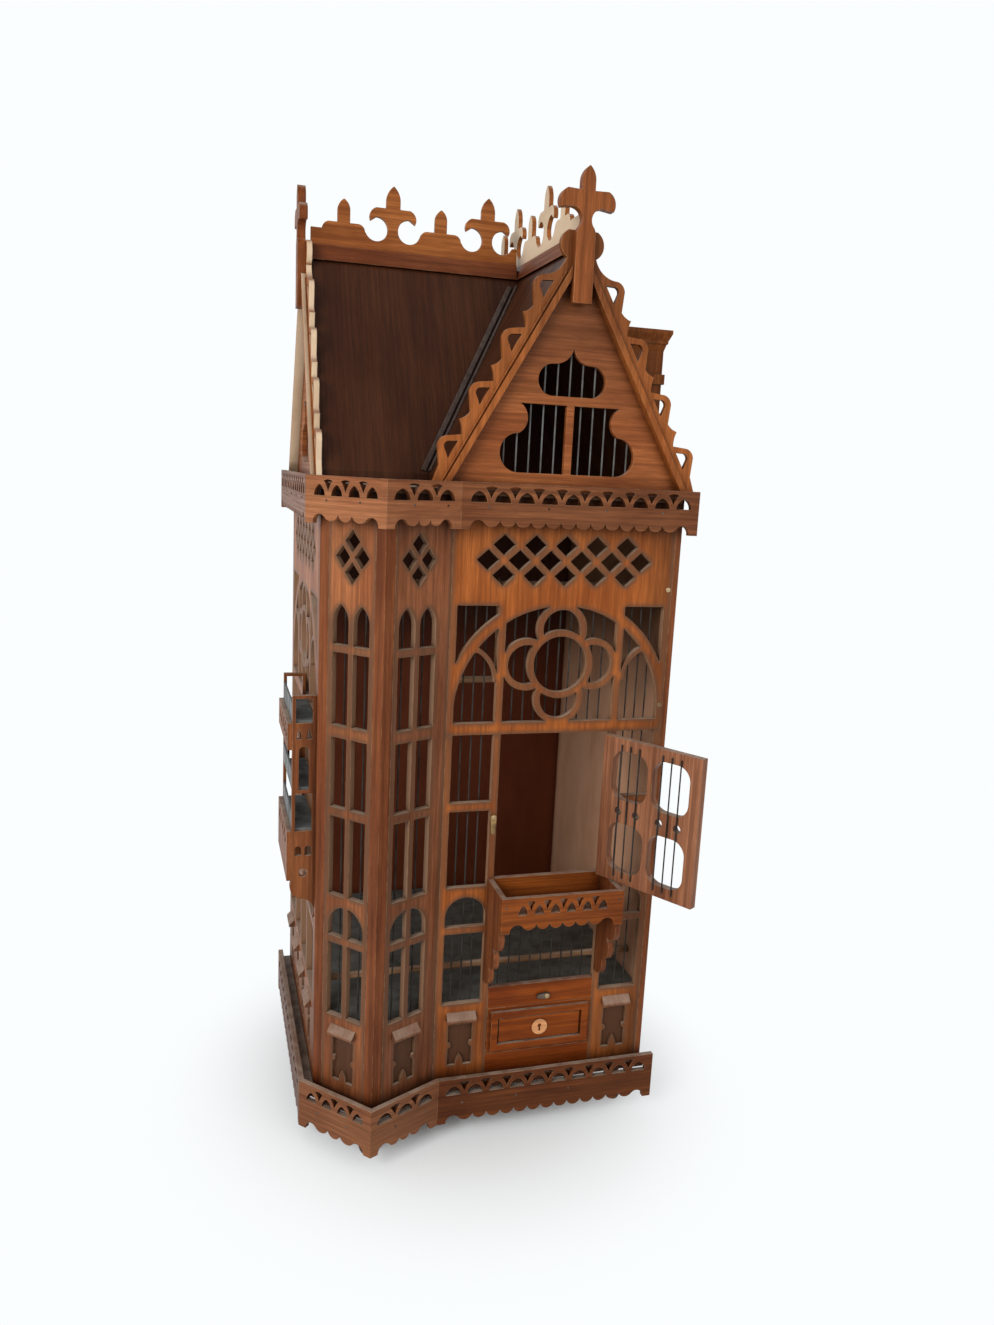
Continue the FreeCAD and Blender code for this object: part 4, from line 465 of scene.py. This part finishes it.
NAILS_ALONG_BACK = range(-120, 246, 73)
nail_seats = []
for depth in NAILS_ALONG_RIGHT:
    for level in (NAIL_FOOT, NAIL_HEAD):
        nail_seats.append((house(WALL_RIGHT, depth, level), RIGHT))
for level in NAILS_UP_RIGHT:
    for depth in (NAIL_EDGE, WALL_BACK - NAIL_EDGE):
        nail_seats.append((house(WALL_RIGHT, depth, level), RIGHT))
for x in NAILS_ALONG_BACK:
    nail_seats.append((house(x, WALL_BACK, NAIL_FOOT), BACK))
for level in NAILS_UP_BACK:
    for x in (WALL_LEFT + NAIL_EDGE, WALL_RIGHT - NAIL_EDGE):
        nail_seats.append((house(x, WALL_BACK, level), BACK))
drive("wall_nails", pin, nail_seats, pin_iron, "cage")


# The cornice: fretted boards like the skirt's, with an arcade above a scalloped edge.
# They are pinned to the frame under the roof, and have gone greyer from dust and sun.
CORNICE_PINS_UP = 717.0
CORNICE_REACH = 16.0
finish_with(stained_oak("cornice_oak", (0.22, 0.076, 0.028), (0.12, 0.040, 0.015), LYING),
            "cornice_front", "cornice_left")
# Painted light: the bay's cornice, turned toward the key, has a lighter copy of the cornice oak.
finish_with(stained_oak("cornice_oak_lit_bay", (0.38, 0.150, 0.066), (0.22, 0.082, 0.034), LYING),
            "cornice_bay")
drive("cornice_pins", pin, wall_seats(CORNICE_PINS_UP, CORNICE_REACH), pin_iron, "cage")


# The gables: boards with the grain lying across, raking bargeboards with looped crockets, and a cross
# finial set over each apex. A thin bead runs up each bargeboard beside its raised moulding.
# The sawn edges of the left bargeboard, where the key strikes them, are painted cream as painted light.
KEY_LIT_CREAM = (0.66, 0.50, 0.34)
BARGE = ((0.43, 0.136, 0.032), (0.27, 0.082, 0.019))
finish_with(stained_oak("gable_oak", (0.38, 0.120, 0.036), (0.23, 0.070, 0.020), LYING,
                        darkened_toward=((UP, 0.78, 0.90, 0.95),)), "gable_front", "gable_left")
barge_oak = stained_oak("barge_oak", *BARGE, darkened_toward=((UP, 0.80, 0.96, 0.9),))
finish_with(barge_oak, "bargeboard_front")
finish_with(stained_oak("barge_oak_left", *BARGE, bare_and_lit=((0.0, -1.0, 0.0), KEY_LIT_CREAM, KEY_LIT_CREAM)),
            "bargeboard_left")
finish_with(stained_oak("finial_oak", (0.28, 0.083, 0.021), (0.16, 0.046, 0.012)),
            "finial_front", "finial_left")
ROOF_HALF = 136.0
EAVE = 747.0
RIDGE = 986.0
RIDGE_X = 121.0
RIDGE_Y = 196.0
PITCH = math.atan2(RIDGE - EAVE, ROOF_HALF)


def strip(name, start, end, outward, width, rise, material):
    """A straight moulding between two places, its flat back on a face and its front rounded over."""
    along = (end - start).normalized()
    across = outward.cross(along).normalized()
    bpy.ops.object.select_all(action="DESELECT")
    bpy.ops.mesh.primitive_cube_add(size=1.0)
    piece = bpy.context.object
    piece.name = name
    axes = Matrix((along, across, outward)).transposed().to_4x4()
    middle = (start + end) / 2 + outward * rise / 2
    piece.matrix_world = (Matrix.Translation(middle) @ axes
                          @ Matrix.Diagonal(((end - start).length, width, rise, 1.0)))
    bpy.ops.object.transform_apply()
    front = (middle + outward * rise / 2).dot(outward)
    bpy.ops.object.mode_set(mode="EDIT")
    bpy.ops.mesh.select_all(action="DESELECT")
    bpy.ops.object.mode_set(mode="OBJECT")
    for edge in piece.data.edges:
        ends = [piece.data.vertices[number].co for number in edge.vertices]
        run = (ends[1] - ends[0]).normalized()
        off_front = abs((ends[0] + ends[1]).dot(outward) / 2 - front)
        edge.select = abs(run.dot(along)) > 0.9 and off_front < rise / 4
    bpy.ops.object.mode_set(mode="EDIT")
    bpy.ops.mesh.bevel(offset=min(width, rise) * 0.45, segments=4, affect="EDGES")
    bpy.ops.object.mode_set(mode="OBJECT")
    piece.data.materials.append(material)
    return piece


def joined(name, pieces):
    """Several strips as one piece of the cage."""
    bpy.ops.object.select_all(action="DESELECT")
    for piece in pieces:
        piece.select_set(True)
    bpy.context.view_layer.objects.active = pieces[0]
    bpy.ops.object.join()
    pieces[0].name = name
    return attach(pieces[0], "cage")


def rake_run(out, low, high):
    """Off-middle distance and height at the foot and the head of a line up the slope."""
    ends = []
    for along in (low, high):
        off = ROOF_HALF - along * math.cos(PITCH) + out * math.sin(PITCH)
        ends.append((off, EAVE + along * math.sin(PITCH) + out * math.cos(PITCH)))
    return ends


LEFT = Vector((-1.0, 0.0, 0.0))
BEAD_WIDTH = 0.0022
BEAD_RISE = 0.0014
BEAD_OUT = -3.3
BEAD_FOOT = -6.0
BEAD_HEAD = 238.0
FRONT_FACE = -2.0
LEFT_FACE = -134.0
(foot_off, foot_high), (head_off, head_high) = rake_run(BEAD_OUT, BEAD_FOOT, BEAD_HEAD)
bead = (BEAD_WIDTH, BEAD_RISE, barge_oak)
front_beads = []
left_beads = []
for side in (-1, 1):
    front_foot = house(RIDGE_X + side * foot_off, FRONT_FACE, foot_high)
    front_head = house(RIDGE_X + side * head_off, FRONT_FACE, head_high)
    left_foot = house(LEFT_FACE, RIDGE_Y + side * foot_off, foot_high)
    left_head = house(LEFT_FACE, RIDGE_Y + side * head_off, head_high)
    front_beads.append(strip("front_bead", front_foot, front_head, FRONT, *bead))
    left_beads.append(strip("left_bead", left_foot, left_head, LEFT, *bead))
joined("barge_beads_front", front_beads)
joined("barge_beads_left", left_beads)


# The roof: thin slopes of almost black-brown wood, a red moulding on each ridge and fretted crestings.
# Dark battens cover the joint along both valleys where the wing meets the main roof, and the rear
# cresting's left face, where the key strikes it, is painted cream as painted light.
DARK = ((0.064, 0.0200, 0.0070), (0.039, 0.0120, 0.0042))
CREST = ((0.38, 0.125, 0.030), (0.22, 0.066, 0.015))
UP_THE_WING = (True, False, False)
UP_THE_MAIN = (False, True, False)
finish_with(stained_oak("roof_oak_wing", *DARK, UP_THE_WING, wear=0.3, gloss=0.36, dust=0.0),
            "roof_wing_front", "roof_wing_back")
finish_with(stained_oak("roof_oak_main", *DARK, UP_THE_MAIN, wear=0.3, gloss=0.36, dust=0.0),
            "roof_main_right", "roof_main_left")
finish_with(stained_oak("ridge_oak", (0.21, 0.060, 0.019), (0.11, 0.031, 0.010), LYING), "ridge_caps")
finish_with(stained_oak("crest_oak", *CREST, LYING), "cresting_wing")
# Painted light: cream on the faces that look left, where the key strikes them.
finish_with(stained_oak("crest_oak_main", *CREST, LYING, bare_and_lit=((-1.0, 0.0, 0.0), KEY_LIT_CREAM, KEY_LIT_CREAM)),
            "cresting_main")
finish_with(stained_oak("chimney_oak", (0.24, 0.066, 0.010), (0.13, 0.034, 0.005)), "chimney")
valley_oak = stained_oak("valley_oak", (0.100, 0.072, 0.062), (0.050, 0.035, 0.030), wear=0.3, dust=0.0)
VALLEY_STOP = 14.0
valley_top = RIDGE - VALLEY_STOP * math.tan(PITCH)
valley_head = house(RIDGE_X - VALLEY_STOP, RIDGE_Y - VALLEY_STOP, valley_top)
valley_foot = house(RIDGE_X - ROOF_HALF, RIDGE_Y - ROOF_HALF, EAVE)
rear_head = house(RIDGE_X - VALLEY_STOP, RIDGE_Y + VALLEY_STOP, valley_top)
rear_foot = house(RIDGE_X - ROOF_HALF, RIDGE_Y + ROOF_HALF, EAVE)
MAIN_UP = Vector((-math.sin(PITCH), 0.0, math.cos(PITCH)))
WING_UP = Vector((0.0, -math.sin(PITCH), math.cos(PITCH)))
WING_BACK_UP = Vector((0.0, math.sin(PITCH), math.cos(PITCH)))
VALLEY_WIDTH = 0.006
VALLEY_RISE = 0.0025
VALLEY_GAP = 0.003


def valley_batten(foot, head, up, toward):
    """A batten on one slope, its edge in the valley and its width lying toward the slope's own side."""
    along = (head - foot).normalized()
    across = up.cross(along).normalized()
    if across.dot(toward) < 0:
        across.negate()
    shift = across * (VALLEY_GAP + VALLEY_WIDTH / 2)
    return strip("valley_batten", foot + shift, head + shift, up, VALLEY_WIDTH, VALLEY_RISE, valley_oak)


joined("valley_battens", [valley_batten(valley_foot, valley_head, WING_UP, LEFT),
                          valley_batten(valley_foot, valley_head, MAIN_UP, FRONT),
                          valley_batten(rear_foot, rear_head, WING_BACK_UP, LEFT),
                          valley_batten(rear_foot, rear_head, MAIN_UP, BACK)])


# The wires: thin tinned iron, let into the back of the fretwork and the door, gone dull and dark.
# Those of the gables are cleaner, and show grey before the dark roof space.
finish_with(old_metal("wire_metal", (0.036, 0.031, 0.027), (0.020, 0.015, 0.012), 0.0, 0.7),
            "front_wires", "bay_wires", "left_wires", "door_wires")
finish_with(old_metal("gable_wire", (0.13, 0.13, 0.125), (0.08, 0.075, 0.07), 0.0, 0.7), "gable_wires")


# The feed box below the door: an open trough of thin oak boards with a fretted and scalloped front.
# Its scrolled sides carry it on the front wall, and a pin at each end fixes the front to them.
FEED_FRONT = -56.0
FEED_PINS_UP = 298.0
FEED_ENDS = (60.0, 190.0)
finish_with(stained_oak("feed_oak", (0.27, 0.068, 0.010), (0.14, 0.034, 0.006), LYING),
            "feed_box_back", "feed_box_front", "feed_box_floor")
finish_with(stained_oak("bracket_oak", (0.22, 0.068, 0.022), (0.12, 0.036, 0.012)), "feed_box_sides")
feed_seats = [(house(x, FEED_FRONT, FEED_PINS_UP), FRONT) for x in FEED_ENDS]
drive("feed_box_pins", pin, feed_seats, pin_iron, "cage")


# The door: one fret-sawn board of a duller oak, on two brass hinges, with a turn hook to hold it shut.
# Each hinge leaf has a small screw, and the hook turns on another.
DOOR_OPEN = math.radians(121)
LEAF_OUT = Vector((math.sin(DOOR_OPEN), -math.cos(DOOR_OPEN), 0.0))
LEAF_SCREW = 0.55
WALL_LEAF = (193.0, -1.0)
WALL_LEAF_SCREWS_UP = (337.5, 435.5)
DOOR_LEAF = (189.27, -6.7)
DOOR_LEAF_SCREWS_UP = (346.8, 444.8)
HOOK_PIVOT = (57.5, -2.0, 380.0)
finish_with(stained_oak("door_oak", (0.35, 0.145, 0.072), (0.19, 0.074, 0.037)), "door_panel")
brass = old_metal("old_brass", (0.36, 0.23, 0.09), (0.15, 0.09, 0.045))
finish_with(brass, "door_hinges", "door_hinge_leaves", "door_catch")
drive("catch_screw", screw, [(house(*HOOK_PIVOT), FRONT)], screw_brass, "door_catch")
hinge_seats = [(house(*WALL_LEAF, level), FRONT) for level in WALL_LEAF_SCREWS_UP]
leaf_seats = [(house(*DOOR_LEAF, level), LEAF_OUT) for level in DOOR_LEAF_SCREWS_UP]
drive("hinge_screws", screw, hinge_seats, screw_brass, "cage", LEAF_SCREW)
drive("door_leaf_screws", screw, leaf_seats, screw_brass, "door", LEAF_SCREW)


# The drawer: a panelled front with a round keyhole plate of pale wood, on a tray of plain thin boards.
# An iron button on the rail above turns on a brass screw to keep it shut.
BUTTON_PIVOT = (132.0, -3.4, 160.0)
finish_with(stained_oak("drawer_oak", (0.27, 0.058, 0.004), (0.16, 0.033, 0.003), LYING), "drawer_front")
finish_with(stained_oak("tray_oak", (0.30, 0.17, 0.09), (0.18, 0.10, 0.05), LYING, gloss=0.6),
            "drawer_tray", "drawer_runners")
finish_with(stained_oak("plate_wood", (0.80, 0.39, 0.178), (0.60, 0.28, 0.12), LYING, wear=0.2,
                        gloss=0.45), "drawer_escutcheon")
finish_with(pin_iron, "drawer_button")
drive("button_screw", screw, [(house(*BUTTON_PIVOT), FRONT)], screw_brass, "drawer_button")
for head in (pin, screw):
    bpy.data.objects.remove(head)


# The oriel on the left wall: two fretted sides of oak, with a band and an apron before them.
# Three folded trays of zinc lie between the sides.
finish_with(stained_oak("oriel_oak", (0.26, 0.085, 0.028), (0.14, 0.044, 0.014)),
            "oriel_sides", "oriel_fronts")
finish_with(old_metal("zinc", (0.17, 0.175, 0.175), (0.115, 0.12, 0.115), 0.3, 0.55), "oriel_shelves")


# The perches and the swing: bare round sticks set between the walls, never varnished.
# The swing hangs from the upper perch by two rings, and has the same pale finish.
finish_with(stained_oak("perch_oak", (0.34, 0.19, 0.10), (0.20, 0.11, 0.055), LYING, gloss=0.6),
            "perches", "swing")


# The studio: a pale floor that fades into a white room, a broad key from the left and a weak fill.
# The white of the floor and the room is only for the eye: neither puts more light on the cage.
WHITE = (0.965, 0.99, 1.0, 1.0)
SHADOW_FROM = 0.10
SHADOW_GONE = 0.38
ROOM_LIGHT = 0.46
KEY = ("key", (-1.9, -1.7, 1.5), 1.4, 55.0)
FILL = ("fill", (1.1, -2.3, 1.6), 2.0, 18.0)


def seen_directly(tree):
    """One where a ray looks straight, in a reflection or through a piece, and nought where it lights."""
    ray = node_of(tree, "ShaderNodeLightPath")
    mirrored = node_of(tree, "ShaderNodeMath", operation="MAXIMUM")
    tree.links.new(ray.outputs["Is Glossy Ray"], mirrored.inputs[0])
    tree.links.new(ray.outputs["Is Transmission Ray"], mirrored.inputs[1])
    shown = node_of(tree, "ShaderNodeMath", operation="MAXIMUM")
    tree.links.new(ray.outputs["Is Camera Ray"], shown.inputs[0])
    tree.links.new(mirrored.outputs["Value"], shown.inputs[1])
    return shown.outputs["Value"]


def pale_floor():
    """Matt and pale round the cage, where its shadow falls, and white further off."""
    material = bpy.data.materials.new("pale_floor")
    material.use_nodes = True
    tree = material.node_tree
    shader = tree.nodes["Principled BSDF"]
    shader.inputs["Base Color"].default_value = (0.93, 0.95, 0.95, 1.0)
    shader.inputs["Roughness"].default_value = 0.9
    place = node_of(tree, "ShaderNodeTexCoord").outputs["Object"]
    distance = node_of(tree, "ShaderNodeVectorMath", operation="LENGTH")
    tree.links.new(place, distance.inputs[0])
    glow = node_of(tree, "ShaderNodeEmission")
    glow.inputs["Color"].default_value = WHITE
    fade = node_of(tree, "ShaderNodeMixShader")
    far = ramped(tree, distance.outputs["Value"], SHADOW_FROM, SHADOW_GONE)
    tree.links.new(times(tree, far, seen_directly(tree)), fade.inputs[0])
    tree.links.new(shader.outputs["BSDF"], fade.inputs[1])
    tree.links.new(glow.outputs["Emission"], fade.inputs[2])
    tree.links.new(fade.outputs["Shader"], tree.nodes["Material Output"].inputs["Surface"])
    return material


bpy.ops.object.select_all(action="DESELECT")
bpy.ops.mesh.primitive_plane_add(size=30.0)
floor = bpy.context.object
floor.name = "studio_floor"
floor.data.materials.append(pale_floor())

world = bpy.data.worlds.new("white_room")
bpy.context.scene.world = world
world.use_nodes = True
tree = world.node_tree
room = tree.nodes["Background"]
room.inputs["Color"].default_value = (1.0, 1.0, 1.0, 1.0)
room.inputs["Strength"].default_value = ROOM_LIGHT
seen = node_of(tree, "ShaderNodeBackground")
seen.inputs["Color"].default_value = WHITE
seen.inputs["Strength"].default_value = 1.0
pick = node_of(tree, "ShaderNodeMixShader")
tree.links.new(seen_directly(tree), pick.inputs[0])
tree.links.new(room.outputs["Background"], pick.inputs[1])
tree.links.new(seen.outputs["Background"], pick.inputs[2])
tree.links.new(pick.outputs["Shader"], tree.nodes["World Output"].inputs["Surface"])

middle = Vector((0.0, 0.0, 0.5))
for name, place, width, power in (KEY, FILL):
    bpy.ops.object.light_add(type="AREA", location=place)
    lamp = bpy.context.object
    lamp.name = name
    lamp.data.size = width
    lamp.data.energy = power
    lamp.rotation_euler = (Vector(place) - middle).to_track_quat("Z", "Y").to_euler()

EYE = house(-247, -1000, 755)
HEADING = math.radians(-16.71)
TILT = math.radians(79.06)
ROLL = math.radians(2.76)
LONG_SIDE = 36.0
FOCAL = 27.17
bpy.ops.object.camera_add()
camera = bpy.context.object
camera.data.sensor_fit = "VERTICAL"
camera.data.sensor_height = LONG_SIDE
camera.data.lens = FOCAL
camera.matrix_world = (Matrix.Translation(EYE) @ Matrix.Rotation(HEADING, 4, "Z")
                       @ Matrix.Rotation(TILT, 4, "X") @ Matrix.Rotation(ROLL, 4, "Z"))
bpy.context.scene.camera = camera
bpy.context.scene.view_settings.view_transform = "Standard"
